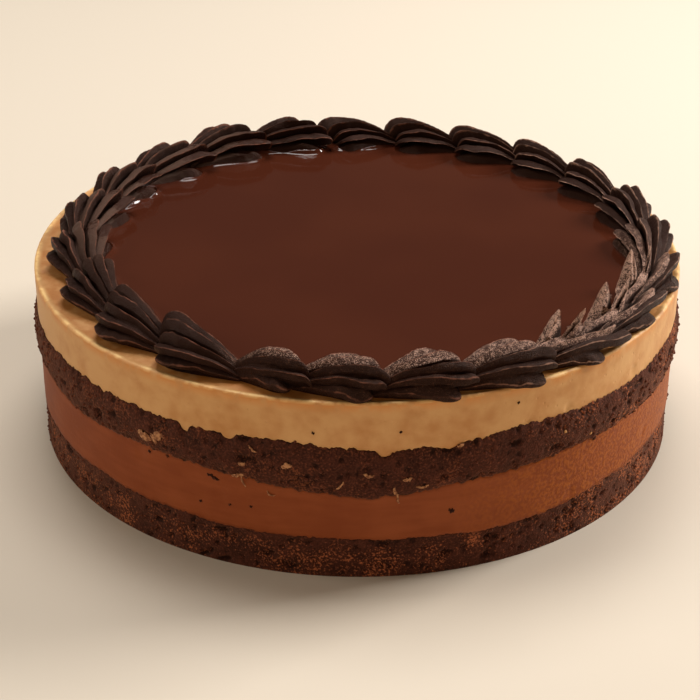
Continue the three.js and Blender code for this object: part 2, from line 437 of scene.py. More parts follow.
@dataclass(frozen=True)
class SpongeFinish:
    """Dark chocolate crumb: near black in the holes as painted shade, with redder grains on what
    stands out as painted light on lit crumbs, more on the right, where the key light falls, and more low
    down.
    """

    hole_shade: Colour = (0.02, 0.006, 0.0035)
    crumb: Colour = (0.088, 0.0245, 0.0135)
    grain: Colour = (0.44, 0.13, 0.048)
    bloom: Colour = (1.0, 0.42, 0.22)
    roughness: float = 0.85
    specular: float = 0.12
    sheen: float = 0.13
    sheen_roughness: float = 0.5
    grain_size: float = 0.7
    grain_relief: float = 0.35
    patches: float = 90.0
    standing: Span = (0.25, 0.75)
    standing_sway: float = 0.7
    lit: Span = (0.55, 0.72)
    lit_sway: float = 0.6
    lit_share: float = 0.22
    lit_right: Span = (0.05, 0.085)
    more_grains_low: Span = (0.01, 0.014)
    foot_share: float = 0.8
    lit_right_and_low_share: float = 0.6

    def build(self) -> bpy.types.Material:
        """Make the material.

        Returns:
            The material.
        """
        finish = Finish("sponge_crumb")
        graph = finish.graph
        x, _, z = graph.parts(finish.place)
        fine = finish.noise(1 / (self.grain_size * MM), detail=3.0)
        broad = finish.noise(self.patches, seed=4.0)
        # Painted light: the bright grains are lit crumbs, with more of them on the right, where the key light
        # falls, and more low down.
        foot = graph.ramp(z, self.more_grains_low, self.foot_share, 0.0)
        lit_right_and_low = graph.math("MAXIMUM", graph.ramp(x, self.lit_right), foot)
        # Painted shade: what stands back, in the pits and tears, is near black.
        height = finish.attribute("crumb") + (fine - 0.5) * self.standing_sway
        base = graph.blend(graph.ramp(height, self.standing), self.hole_shade, self.crumb)
        lit = graph.ramp(fine + (broad - 0.5) * self.lit_sway, self.lit)
        grainy = lit * (lit_right_and_low * self.lit_right_and_low_share + self.lit_share)
        finish.set("Base Color", graph.blend(grainy, base, self.grain))
        finish.gloss(self.roughness, self.specular)
        finish.set("Sheen Weight", self.sheen)
        finish.set("Sheen Roughness", self.sheen_roughness)
        finish.set("Sheen Tint", (*self.bloom, 1.0))
        finish.bump(fine, self.grain_relief)
        return finish.material


@dataclass(frozen=True)
class MousseFinish:
    """Set chocolate mousse: smooth and matte, with faint clouds and drag marks from the ring."""

    colour: Colour = (0.215, 0.05, 0.0145)
    pale: Colour = (0.265, 0.068, 0.021)
    pore: Colour = (0.37, 0.108, 0.018)
    roughness: float = 0.55
    specular: float = 0.1
    relief: float = 0.35
    clouds: float = 60.0
    drags: float = 420.0
    drag_stretch: float = 0.15
    drag_share: float = 0.4
    cloudy: Span = (0.35, 0.7)
    pores: float = 850.0
    pored: Span = (0.42, 0.62)
    pore_share: float = 0.7
    porous_right: Span = (0.03, 0.07)
    porous_sway: float = 0.05
    skin: float = 900.0
    skin_share: float = 0.25

    def build(self) -> bpy.types.Material:
        """Make the material.

        Returns:
            The material.
        """
        finish = Finish("chocolate_mousse")
        graph = finish.graph
        x, y, z = graph.parts(finish.place)
        stretched = graph.vector(x * self.drag_stretch, y * self.drag_stretch, z)
        drag = graph.noise(stretched, self.drags)
        cloud = finish.noise(self.clouds, detail=3.0, seed=2.0)
        porous = graph.ramp(x + (cloud - 0.5) * self.porous_sway, self.porous_right)
        pores = finish.noise(self.pores, detail=3.0, seed=7.0)
        pale = graph.ramp(graph.mixed(cloud, drag, self.drag_share), self.cloudy)
        base = graph.blend(pale, self.colour, self.pale)
        open_pores = graph.ramp(pores, self.pored) * porous
        finish.set("Base Color", graph.blend(open_pores * self.pore_share, base, self.pore))
        finish.gloss(self.roughness, self.specular)
        finish.bump(finish.noise(self.skin, detail=3.0) * self.skin_share + pores * porous, self.relief)
        return finish.material


@dataclass(frozen=True)
class CreamFinish:
    """Mocha cream: tan, with a painted highlight on the lip's crest, and amber stains where coffee and
    glaze have soaked in; on the top inside the lip the stain also stands for painted shade.
    """

    colour: Colour = (0.475, 0.208, 0.057)
    pale: Colour = (0.6, 0.325, 0.122)
    stain_and_shade: Colour = (0.4, 0.15, 0.03)
    drip: Colour = (0.6, 0.225, 0.045)
    # The lip colour is a painted highlight on the lip's crest.
    lip: Colour = (0.78, 0.5, 0.2)
    roughness: float = 0.55
    specular: float = 0.4
    relief: float = 0.1
    clouds: float = 45.0
    mottles: float = 150.0
    spots: float = 260.0
    pale_left: Span = (-0.08, -0.01)
    left_share: float = 0.1
    mottled: Span = (0.36, 0.62)
    mottle_share: float = 0.5
    dripped: Span = (0.4, 0.54)
    drip_mottle: float = 0.6
    drip_share: float = 0.8
    soak_and_shade_patches: Span = (0.32, 0.6)
    soak_and_shade_cloud: float = 0.5
    soak_and_shade_least: float = 0.25
    painted_light_step: Span = (0.45, 0.56)
    lip_highlight_mottle: float = 0.4
    pits: float = 330.0
    pitted: Span = (0.0, 0.22)
    skin: float = 500.0
    skin_share: float = 0.5

    def build(self) -> bpy.types.Material:
        """Make the material.

        Returns:
            The material.
        """
        finish = Finish("mocha_cream")
        graph = finish.graph
        cloud = finish.noise(self.clouds, detail=3.0)
        mottle = finish.noise(self.mottles, detail=4.0, seed=6.0)
        spots = finish.noise(self.spots, detail=3.0, seed=3.0)
        left = graph.ramp(graph.parts(finish.place)[0], self.pale_left, self.left_share, 0.0)
        pale = graph.ramp(graph.mixed(cloud, mottle, self.mottle_share) + left, self.mottled)
        base = graph.blend(pale, self.colour, self.pale)
        dripped = graph.ramp(graph.mixed(spots, mottle, self.drip_mottle), self.dripped)
        base = graph.blend(finish.attribute("drip") * dripped * self.drip_share, base, self.drip)
        # Amber stain on the top inside the lip, which also stands for painted shade from the shells.
        patchy = graph.mixed(spots, cloud, self.soak_and_shade_cloud)
        soak_and_shade_patches = graph.ramp(patchy, self.soak_and_shade_patches, self.soak_and_shade_least, 1.0)
        base = graph.blend(finish.attribute("soak_and_shade") * soak_and_shade_patches, base, self.stain_and_shade)
        # Painted highlight on the lip's crest, broken into patches.
        painted_light_share = graph.ramp(graph.mixed(spots, mottle, self.lip_highlight_mottle), self.painted_light_step)
        finish.set("Base Color", graph.blend(finish.attribute("lip") * painted_light_share, base, self.lip))
        finish.gloss(self.roughness, self.specular)
        pits = graph.ramp(graph.cells(finish.place, self.pits)[0], self.pitted)
        finish.bump(pits + finish.noise(self.skin, detail=3.0) * self.skin_share, self.relief)
        return finish.material


@dataclass(frozen=True)
class ShavingFinish:
    """Dry slivers of cream and sponge that the knife left behind: dull brown with paler patches."""

    colour: Colour = (0.2, 0.075, 0.032)
    pale: Colour = (0.46, 0.22, 0.1)
    roughness: float = 0.7
    specular: float = 0.2
    relief: float = 0.15
    patches: float = 900.0
    patchy: Span = (0.4, 0.62)
    grains: float = 2500.0

    def build(self) -> bpy.types.Material:
        """Make the material.

        Returns:
            The material.
        """
        finish = Finish("dry_sliver")
        graph = finish.graph
        patch = graph.ramp(finish.noise(self.patches, detail=3.0, seed=5.0), self.patchy)
        finish.set("Base Color", graph.blend(patch, self.colour, self.pale))
        finish.gloss(self.roughness, self.specular)
        finish.bump(finish.noise(self.grains), self.relief)
        return finish.material


@dataclass(frozen=True)
class GlazeFinish:
    """Poured chocolate glaze: dark, wet and mirror smooth."""

    colour: Colour = (0.056, 0.0135, 0.0062)
    deep: Colour = (0.049, 0.0115, 0.0055)
    roughness: float = 0.09
    bending: float = 1.42
    clouds: float = 16.0
    cloudy: Span = (0.35, 0.65)
    waves: float = 40.0
    wave_relief: float = 0.03
    wave_strength: float = 0.5

    def build(self) -> bpy.types.Material:
        """Make the material.

        Returns:
            The material.
        """
        finish = Finish("chocolate_glaze")
        graph = finish.graph
        cloud = graph.ramp(finish.noise(self.clouds), self.cloudy)
        finish.set("Base Color", graph.blend(cloud, self.colour, self.deep))
        finish.set("Roughness", self.roughness)
        finish.set("IOR", self.bending)
        finish.bump(finish.noise(self.waves, seed=5.0), self.wave_relief, self.wave_strength)
        return finish.material


@dataclass(frozen=True)
class GanacheFinish:
    """Piped ganache: almost black, satin and finely grained, with redder, ragged rib edges that are
    partly a painted rim highlight.

    It has painted shade at the back right, a dull bloom with painted sheen at the back left, and it is
    dry and frosted at the right, where what faces up takes a lighter painted top, the frost is partly
    painted glints and the edges take a brighter painted highlight. Tops and sides differ as painted
    light and shade, and the grooves hold painted shade.
    """

    # top and side are painted light and shade, picked by which way the surface faces.
    top: Colour = (0.0195, 0.007, 0.0043)
    bloom_and_sheen: Colour = (0.078, 0.042, 0.03)
    side: Colour = (0.025, 0.0098, 0.0066)
    # groove is painted shade for the grooves and hollows.
    groove: Colour = (0.0028, 0.0013, 0.0009)
    # The redder ridge lines are partly a painted rim highlight, brighter at the right as a painted highlight.
    edge: Colour = (0.205, 0.08, 0.05)
    right_edge_highlight: Colour = (0.42, 0.235, 0.165)
    # A lighter top colour, painted light on what faces up at the right.
    painted_lit_top: Colour = (0.043, 0.0165, 0.0105)
    # Frost specks, partly painted glints.
    frost: Colour = (0.66, 0.41, 0.31)
    dust: Colour = (0.2, 0.09, 0.055)
    sheen: Colour = (1.0, 0.7, 0.56)
    film: Colour = (0.03, 0.011, 0.007)
    roughness: float = 0.42
    roughness_spread: Span = (-0.1, 0.15)
    film_roughness: float = 0.14
    specular: float = 0.11
    grain_size: float = 0.32
    grain_relief: float = 0.25
    grained: Span = (0.3, 0.7)
    moist_grain: float = 0.6
    rags: float = 700.0
    back_right_shade_way: Span = (0.55, 0.85)
    back_right_shade_step: Span = (0.03, 0.06)
    bloom_and_sheen_way: Span = (-0.6, 0.8)
    bloom_and_sheen_left: Span = (0.015, 0.05)
    dry_way: Span = (0.9, -0.5)
    dry_right: Span = (0.005, 0.03)
    upward: Span = (0.15, 0.6)
    painted_light_step: Span = (0.1, 0.8)
    breaks: float = 150.0
    broken: Span = (0.4, 0.56)
    broken_least: float = 0.15
    edged: Span = (0.5, 1.0)
    edge_sway: float = 1.2
    edge_share: float = 0.8
    left_shade: Span = (-0.06, -0.01)
    left_shade_share: float = 0.22
    sunk: Span = (0.3, 0.95)
    painted_lit_top_fade: Span = (0.14, 0.5)
    rag_share: float = 0.5
    frost_and_glint_step: Span = (0.5, 0.6)
    frost_share: float = 0.6
    leaf_frost_and_light: float = 0.37
    leaf_reach: float = 0.06
    dusted: Span = (0.52, 0.7)
    dust_share: float = 0.28
    filmed: Span = (0.3, 0.6)
    film_sway: float = 0.6
    right_edge_highlight_step: Span = (0.03, 0.07)

    def build(self) -> bpy.types.Material:
        """Make the material.

        Returns:
            The material.
        """
        finish = Finish("piped_ganache")
        graph = finish.graph
        x = graph.parts(finish.place)[0]
        grain = finish.noise(1 / (self.grain_size * MM))
        ragged = finish.noise(self.rags, detail=3.0, seed=1.0) - 0.5
        upper, deep, leaf = (finish.attribute(name) for name in ("frost", "deep", "leaf"))
        # Painted shade: at the back right, whose shells face away from the key light, the tops keep the side
        # colour and get no painted light.
        back_right_shade = finish.toward(self.back_right_shade_way, self.back_right_shade_step)
        # Dull bloom with painted sheen: the tops at the back left are lighter.
        bloom_and_sheen = finish.toward(self.bloom_and_sheen_way, self.bloom_and_sheen_left) * (1.0 - back_right_shade)
        dry = finish.toward(self.dry_way, self.dry_right) * (1.0 - back_right_shade)
        # Painted light and shade by facing: what faces up takes the top colour, the rest the side colour.
        painted_light_share = graph.ramp(upper, self.painted_light_step) * (1.0 - back_right_shade)
        base = graph.blend(painted_light_share, self.side, graph.blend(bloom_and_sheen, self.top, self.bloom_and_sheen))
        # Painted shade in the grooves and hollows, more of it on the left.
        left = graph.ramp(x, self.left_shade, self.left_shade_share, 0.0)
        sunk = graph.ramp(deep + left, self.sunk)
        base = graph.blend(sunk, base, self.groove)
        speckle = grain + ragged * self.rag_share
        dusty = graph.ramp(speckle, self.dusted) * dry * (1.0 - sunk)
        base = graph.blend(dusty * self.dust_share, base, self.dust)
        # Painted light: what faces up at the right takes a lighter top colour, less of it in the grooves.
        high = graph.ramp(upper, self.upward) * dry * graph.ramp(deep, self.painted_lit_top_fade, 1.0, 0.0)
        base = graph.blend(high, base, self.painted_lit_top)
        # Frost specks on what faces up at the right, partly painted glints.
        specks = graph.ramp(speckle + leaf * self.leaf_reach, self.frost_and_glint_step) * high
        base = graph.blend(specks * (leaf * self.leaf_frost_and_light + self.frost_share), base, self.frost)
        film = graph.ramp(finish.attribute("wet") + ragged * self.film_sway, self.filmed)
        base = graph.blend(film, base, self.film)
        broken = graph.ramp(finish.noise(self.breaks, seed=8.0), self.broken, self.broken_least, 1.0)
        # Redder ridge lines, partly a painted rim highlight, brighter at the right, where the key light
        # falls.
        edge = graph.ramp(finish.attribute("edge") + ragged * self.edge_sway, self.edged) * broken
        rim = graph.blend(graph.ramp(x, self.right_edge_highlight_step), self.edge, self.right_edge_highlight)
        finish.set("Base Color", graph.blend(edge * self.edge_share, base, rim))
        smoothest, roughest = (self.roughness + change for change in self.roughness_spread)
        dry_gloss = graph.ramp(grain, self.grained, smoothest, roughest)
        finish.gloss(dry_gloss + (self.film_roughness - dry_gloss) * film, self.specular)
        finish.set("Specular Tint", (*self.sheen, 1.0))
        felt = dry * (1 - self.moist_grain) + self.moist_grain
        finish.bump(graph.ramp(grain, self.grained) * felt, self.grain_relief)
        return finish.material


@dataclass(frozen=True)
class FloorFinish:
    """A plain pale studio floor."""

    colour: Colour = (0.57, 0.5, 0.41)
    roughness: float = 0.7

    def build(self) -> bpy.types.Material:
        """Make the material.

        Returns:
            The material.
        """
        finish = Finish("studio_floor")
        finish.set("Base Color", (*self.colour, 1.0))
        finish.set("Roughness", self.roughness)
        return finish.material


def widths_from(azimuths: np.ndarray, centre: float, width: float) -> np.ndarray:
    """How far angles in radians lie from a centre in degrees, counted in widths in degrees."""
    turn = azimuths - math.radians(centre)
    return np.arctan2(np.sin(turn), np.cos(turn)) / math.radians(width)


@dataclass(frozen=True)
class TornEdge:
    """Ragged teeth round a torn edge."""

    broad: float = 9.0
    fine: float = 55.0
    fade: float = 0.35
    step: float = 2.3
    octaves: int = 4

    def teeth(self, azimuths: np.ndarray, seed: float) -> np.ndarray:
        """How far the edge is torn up or down.

        Args:
            azimuths: Angles from +X, in radians.
            seed: Where in the noise the edge is read.

        Returns:
            Numbers between about -1 and 1.
        """
        deep = Vector((0, 0, seed))
        rounds = [Vector((math.cos(turn), math.sin(turn), 0.0)) for turn in azimuths]
        broad = [noise.noise(turn * self.broad + deep) for turn in rounds]
        fine = [noise.fractal(turn * self.fine + deep, self.fade, self.step, self.octaves) for turn in rounds]
        return np.array(broad) + np.array(fine)


TORN = TornEdge()


@dataclass(frozen=True)
class LayerLine:
    """A line between two layers, seen round the side, in millimetres and degrees.

    Each of its notches is an azimuth, a depth and a width.
    """

    level: float
    ripple: float = 0.0
    ripples: int = 0
    crest_at: float = 0.0
    sag: float = 0.0
    sag_at: float = 0.0
    sag_width: float = 1.0
    jag: float = 0.0
    notches: Sequence[tuple[float, float, float]] = ()

    def heights(self, azimuths: np.ndarray) -> np.ndarray:
        """Heights of the line round the cake.

        Args:
            azimuths: Angles from +X, in radians.

        Returns:
            The heights, in millimetres.
        """
        line = self.level + self.ripple * np.cos(self.ripples * (azimuths - math.radians(self.crest_at)))
        line = line - self.sag * np.exp(-(widths_from(azimuths, self.sag_at, self.sag_width) ** 2))
        for at, depth, width in self.notches:
            line = line - depth * np.exp(-(widths_from(azimuths, at, width) ** 4))
        return line + self.jag * TORN.teeth(azimuths, self.level)


@dataclass(frozen=True)
class Cake:
    """Sizes that all the layers share, in millimetres, and the lines between the layers."""

    radius: float = (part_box("mousse")[1].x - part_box("mousse")[0].x) / (2 * MM)
    top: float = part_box("mocha_cream")[1].z / MM
    segments: int = 1080
    base_line: LayerLine = LayerLine(0.0)
    mousse_foot: LayerLine = LayerLine(14.7, 0.5, 3, 215, 1.4, 296, 10, jag=0.5)
    mousse_top: LayerLine = LayerLine(34.2, 0.6, 9, 236, 5.0, 273, 13, jag=0.7)
    cream_foot: LayerLine = LayerLine(
        48.5, 0.5, 9, 218, 1.5, 280, 11, jag=0.75,
        notches=((242.2, 2.3, 0.8), (250.0, 2.0, 1.2), (274.5, 1.7, 1.3), (284.5, 1.5, 2.2)))

    def azimuths(self) -> np.ndarray:
        """Angles of the points round a ring, in radians."""
        return np.arange(self.segments) * (2 * math.pi / self.segments)


CAKE = Cake()


def add_object(name: str, mesh: bpy.types.Mesh) -> bpy.types.Object:
    """Put a mesh in the scene.

    Args:
        name: The new object's name.
        mesh: Its mesh.

    Returns:
        The new object.
    """
    piece = bpy.data.objects.new(name, mesh)
    bpy.context.scene.collection.objects.link(piece)
    return piece


def make_mesh(name: str, points: Sequence, faces: Sequence) -> bpy.types.Mesh:
    """Make a smoothly shaded mesh.

    Args:
        name: The mesh's name.
        points: Its points, in metres.
        faces: The points of each face.

    Returns:
        The mesh.
    """
    mesh = bpy.data.meshes.new(name)
    mesh.from_pydata(points, [], faces)
    mesh.polygons.foreach_set("use_smooth", np.ones(len(mesh.polygons), bool))
    return mesh


def set_numbers(mesh: bpy.types.Mesh, name: str, values: np.ndarray) -> None:
    """Keep a number for each point of a turned mesh, and 0 for its two ends on the axis."""
    layer = mesh.attributes.new(name, "FLOAT", "POINT")
    layer.data.foreach_set("value", np.append(values, (0.0, 0.0)).astype(np.float32))


def turned_mesh(
    name: str, radii: np.ndarray, heights: np.ndarray, centre: Vector = Vector((0, 0))
) -> bpy.types.Mesh:
    """A closed solid of rings, from the lowest ring outside up to the innermost ring on top.

    Args:
        name: The mesh's name.
        radii: Radius of each point, a row for each ring, in millimetres.
        heights: Height of each point, of the same shape.
        centre: The axis the rings turn about, in millimetres.

    Returns:
        The mesh, in metres, closed at both ends on the axis.
    """
    rows, count = radii.shape
    turn = np.arange(count) * (2 * math.pi / count)
    x = centre.x + radii * np.cos(turn)
    y = centre.y + radii * np.sin(turn)
    rings = np.stack([x, y, heights], axis=-1).reshape(-1, 3)
    ends = [(centre.x, centre.y, heights[0].mean()), (centre.x, centre.y, heights[-1].mean())]
    points = np.vstack([rings, ends]) * MM
    index = np.arange(rows * count).reshape(rows, count)
    after = np.roll(index, -1, axis=1)
    quads = np.stack([index[:-1], after[:-1], after[1:], index[1:]], axis=-1).reshape(-1, 4)
    under = [(rows * count, int(b), int(a)) for a, b in zip(index[0], after[0])]
    over = [(rows * count + 1, int(a), int(b)) for a, b in zip(index[-1], after[-1])]
    return make_mesh(name, points.tolist(), quads.tolist() + under + over)


def surface_of(pieces: Sequence[bpy.types.Object]) -> BVHTree:
    """Join the surfaces of finished pieces, to find places on them.

    Args:
        pieces: The pieces.

    Returns:
        Their faces in one search tree.
    """
    points, faces = [], []
    for piece in pieces:
        first = len(points)
        points += [vertex.co for vertex in piece.data.vertices]
        faces += [[first + i for i in face.vertices] for face in piece.data.polygons]
    return BVHTree.FromPolygons(points, faces)


def hand_over(piece: bpy.types.Object, slot: str, *nodes: str) -> bpy.types.Object:
    """Tie a finished piece to the cake.

    Args:
        piece: The finished object.
        slot: The record's material slot; not used.
        nodes: Solids that it stands for.

    Returns:
        The piece.
    """
    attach(piece, BODY)
    if nodes:
        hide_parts(*nodes)
    log.info("%s: %d faces", piece.name, len(piece.data.polygons))
    return piece


@dataclass(frozen=True)
class Relief:
    """Lumps, grains, pits and torn places that a layer's side carries, in millimetres."""

    lump: float
    lump_size: float
    pit: float
    pit_size: float
    pit_share: float
    pit_wall: Span = (0.1, 0.5)
    grain: float = 0.0
    grain_size: float = 1.0
    grain_seed: float = 7.0
    tear: float = 0.0
    tear_size: float = 7.0
    tear_share: float = 0.16
    tear_wall: Span = (0.15, 0.4)
    tear_flat: float = 2.0
    tear_grain: float = 0.6
    tear_lump: float = 0.5

    def recipe(self, name: str, finish: bpy.types.Material) -> Recipe:
        """The tree that moves a layer's side in and out.

        Args:
            name: The tree's name.
            finish: The layer's material.

        Returns:
            The tree, which also keeps how far each point stands out as "crumb".
        """
        tree = Recipe(name)
        seed = tree.size("Seed")
        place = tree.position()
        lumps = tree.noise(place, 1 / (self.lump_size * MM), detail=3.0, seed=seed) - 0.5
        grains = tree.noise(place, 1 / (self.grain_size * MM), seed=seed + self.grain_seed) - 0.5
        distance, draw = tree.cells(place, 1 / (self.pit_size * MM))
        chosen = tree.math("LESS_THAN", draw, self.pit_share)
        pits = tree.ramp(distance, self.pit_wall, 1.0, 0.0) * chosen
        x, y, z = tree.parts(place)
        distance, draw = tree.cells(tree.vector(x, y, z * self.tear_flat), 1 / (self.tear_size * MM))
        chosen = tree.math("LESS_THAN", draw, self.tear_share)
        distance = distance + grains * self.tear_grain + lumps * self.tear_lump
        tears = tree.ramp(distance, self.tear_wall, 1.0, 0.0) * chosen
        height = lumps * (2 * self.lump) + grains * (2 * self.grain) - pits * self.pit - tears * self.tear
        shift = tree.scaled(tree.normal(), height * tree.attribute("side") * MM)
        moved = tree.move(tree.inputs.outputs["Geometry"], Offset=shift)
        reach = 2 * (self.lump + self.grain) + self.pit
        tree.close(tree.store(moved, "crumb", height * (1 / reach) + 0.5), finish)
        return tree


@dataclass
class Layer:
    """One layer of the cake, remade between its two lines."""

    name: str
    node: str
    slot: str
    lower: LayerLine
    upper: LayerLine
    relief: Relief
    rows: int
    seed: float
    bulge: float = 0.0

    def rings(self) -> tuple[np.ndarray, np.ndarray]:
        """Lay rings up the side.

        Returns:
            Radii and heights of their points, a row for each ring.
        """
        turn = CAKE.azimuths()
        low, high = self.lower.heights(turn), self.upper.heights(turn)
        share = np.linspace(0.0, 1.0, self.rows)[:, None]
        heights = low + (high - low) * share
        swell = self.bulge * (1 - np.abs(2 * share - 1) ** 3)
        return CAKE.radius + swell + 0 * heights, heights

    def build(self, finish: bpy.types.Material) -> bpy.types.Object:
        """Make the layer, roughen its side and tie it to the cake.

        Args:
            finish: The layer's material.

        Returns:
            The finished piece.
        """
        radii, heights = self.rings()
        mesh = turned_mesh(self.name, radii, heights)
        free = np.ones_like(radii)
        free[[0, -1]] = 0.0
        set_numbers(mesh, "side", free)
        self.dress(mesh, radii, heights)
        piece = add_object(self.name, mesh)
        self.relief.recipe(f"{self.name}_relief", finish).run(piece, Seed=self.seed)
        return hand_over(piece, self.slot, self.node)

    def dress(self, mesh: bpy.types.Mesh, radii: np.ndarray, heights: np.ndarray) -> None:
        """Add what the finish reads from the mesh: nothing on a plain layer."""


@dataclass
class CreamLayer(Layer):
    """The mocha cream, with a soft lip round its top edge and a flat top inside it."""

    lip_round: float = 0.8
    lip_rise: float = 0.35
    lip_width: float = 2.0
    lip_even: float = 0.6
    lip_sway: float = 0.25
    lip_seed: float = 3.0
    lip_bends: Sequence[float] = (22.5, 45.0, 67.5, 90.0)
    lip_rings: int = 6
    first_ring: float = 0.15
    flat_rings: int = 14
    flat_drop: float = 0.15
    inner_radius: float = 70.0
    soak_and_shade_depth: float = 3.0
    soak_and_shade_start: float = 1.2
    side_band: float = 0.3
    crest_band: float = 0.5

    def rings(self) -> tuple[np.ndarray, np.ndarray]:
        """Lay rings up the side, over the lip and in across the top.

        Returns:
            Radii and heights of their points, a row for each ring.
        """
        turn = CAKE.azimuths()
        low = self.lower.heights(turn)
        side_top = CAKE.top - self.lip_round
        side = low + (side_top - low) * np.linspace(0.0, 1.0, self.rows)[:, None]
        sway = self.lip_sway * TORN.teeth(turn, self.lip_seed)
        crest = CAKE.top + self.lip_rise * (self.lip_even + (1 - self.lip_even) * sway)
        bends = np.radians(self.lip_bends)[:, None]
        bend_radii = CAKE.radius - self.lip_round * (1 - np.cos(bends)) + 0 * turn
        bend_heights = side_top + (crest - side_top) * np.sin(bends)
        inward = np.linspace(self.first_ring, 1.0, self.lip_rings)[:, None]
        dip = 0.5 - 0.5 * np.cos(math.pi * inward)
        flat = CAKE.top - self.flat_drop
        lip_radii = CAKE.radius - self.lip_round - self.lip_width * inward + 0 * turn
        lip_heights = crest + (flat - crest) * dip
        lip_end = CAKE.radius - self.lip_round - self.lip_width
        flat_radii = np.linspace(lip_end, self.inner_radius, self.flat_rings)[1:, None] + 0 * turn
        radii = np.vstack([np.full_like(side, CAKE.radius), bend_radii, lip_radii, flat_radii])
        return radii, np.vstack([side, bend_heights, lip_heights, np.full_like(flat_radii, flat)])

    def dress(self, mesh: bpy.types.Mesh, radii: np.ndarray, heights: np.ndarray) -> None:
        """Mark the lip's crest for its painted highlight, the top inside the lip for its amber stain with
        painted shade, and the band just under the lip where amber has soaked in.

        Args:
            mesh: The layer's mesh.
            radii: Radius of each point, a row for each ring.
            heights: Height of each point, of the same shape.
        """
        from_crest = (radii - CAKE.radius + self.lip_round) / self.lip_round
        inside = np.clip((CAKE.radius - self.lip_round - radii) / self.lip_width, 0, 1)
        below = np.clip(self.soak_and_shade_start - (CAKE.top - heights) / self.soak_and_shade_depth, 0, 1)
        # The top inside the lip, which takes an amber stain with painted shade.
        set_numbers(mesh, "soak_and_shade", inside)
        set_numbers(mesh, "drip", below * (radii > CAKE.radius - self.side_band))
        # The lip's crest, which takes a painted highlight.
        set_numbers(mesh, "lip", np.exp(-(from_crest**2)) * (heights > CAKE.top - self.crest_band))


class Draw:
    """Seeded draws between -1 and 1, the same as the solids were made with."""

    FACTOR = 1664525
    STEP = 1013904223
    RANGE = 4294967296

    def __init__(self, seed: int) -> None:
        """Start from a seed."""
        self.state = seed

    def next(self) -> float:
        """The next draw."""
        self.state = (self.state * self.FACTOR + self.STEP) % self.RANGE
        return 2 * self.state / self.RANGE - 1


@dataclass(frozen=True)
class RibSway:
    """Slow noise that differs from rib to rib of a shell, and along each of them."""

    rib: float
    along: float
    start: float = 0.0
    level: float = 0.0
    scale: float = 3.0
    detail: float = 1.0
    seed: float = 0.0


@dataclass(frozen=True)
class ShellForm:
    """How every shell is shaped, in millimetres and degrees, or as shares of its own size.

    A curve's first number is the share of the way from head to tail, or from side to side. The pointed
    shells, which end in upright leaves, have sizes of their own that start with point or leaf.
    """

    ribs: int = 7
    rib_step: float = 32.0
    side_ribs: float = 2.0
    half_rib_points: int = 8
    under_points: int = 3
    stations: int = 56
    cap_rings: int = 4
    crowding: float = 1.35
    sunk: float = 0.6
    slant: float = 0.38
    bowl: float = 2.5
    axis_height: float = 0.33
    foot_width: float = 0.85
    arch_power: float = 0.8
    head: Span = (0.1, 0.7)
    girth: Sequence[Span] = (
        (0.0, 0.66), (0.02, 0.8), (0.05, 0.91), (0.1, 0.98), (0.16, 1.0),
        (0.45, 0.8), (0.7, 0.56), (1.0, 0.3))
    rise: Sequence[Span] = (
        (0.0, 0.5), (0.02, 0.7), (0.05, 0.85), (0.1, 0.95), (0.2, 1.0),
        (0.4, 0.98), (0.6, 0.86), (0.8, 0.62), (1.0, 0.24))
    spread: Sequence[Span] = (
        (0.0, 0.55), (0.03, 0.75), (0.08, 0.9), (0.2, 1.0), (0.5, 0.9), (1.0, 0.7))
    openings: Sequence[Span] = (
        (0.083, 0.8), (0.25, 1.0), (0.417, 1.0), (0.583, 0.85), (0.75, 0.5), (0.917, 0.5))
    leads: Sequence[Span] = (
        (0.0, 0.5), (0.167, 0.33), (0.333, 0.17), (0.5, 0.5), (0.667, 0.83), (0.833, 0.92), (1.0, 0.0))
    ridge_column: float = 0.25
    brow_column: float = 0.5
    ridge_side: float = 0.42
    brow_side: float = 0.7
    blunt_side: float = 0.8
    groove_head: float = 0.85
    groove_tail: float = 0.48
    deepest: float = 0.85
    side_depth: float = 0.8
    gap: RibSway = RibSway(rib=0.61, along=0.3, level=0.9, seed=9.0)
    gap_step: Span = (0.33, 0.58)
    gap_closed: float = 0.6
    gap_open: float = 1.15
    face_fall: float = 0.2
    face_sway: float = 1.5
    wander: RibSway = RibSway(rib=0.53, along=1.1, scale=2.5, detail=2.0)
    wander_share: float = 0.8
    lobe: RibSway = RibSway(rib=0.37, along=0.5, seed=3.0)
    lobe_share: float = 0.4
    tip: RibSway = RibSway(rib=0.71, along=0.0, start=0.3, seed=6.0)
    tip_spread: float = 7.0
    side_retreat: float = 2.2
    stagger: float = 6.0
    finger_notch: float = 5.5
    notch_length: float = 0.3
    blunt_notch: float = 0.8
    point_length: float = 0.2
    point_power: float = 2.0
    point_lift: float = 1.1
    point_low: float = 0.35
    point_taper: float = 0.3
    point_narrow: float = 0.9
    point_notch: float = 0.3
    point_stagger: float = 1.2
    point_setback: float = 9.5
    point_bowl: float = 6.0
    point_flare: float = 1.5
    point_flared: Span = (0.0, 0.4)
    point_shade: float = 0.8
    inmost_drop: float = 0.7
    inmost_retreat: float = 6.0
    leaf_rise: float = 0.62
    leaf_tail: Span = (0.4, 0.8)
    leaf_low: float = 0.55
    leaf_fill: Span = (0.15, 0.4)
    leaf_groove: float = 0.3
    leaf_wander: float = 0.5
    leaf_lobe: float = 0.7
    leaf_marked: Span = (0.1, 0.5)
    leaf_frost_and_light: float = 0.7
    line_width: float = 0.2
    outer_shade: float = 0.92
    lumps: float = 220.0
    lump: float = 0.6
    rags: float = 800.0
    rag: float = 0.6
    rag_seed: float = 5.0
    sharp: float = 28.0


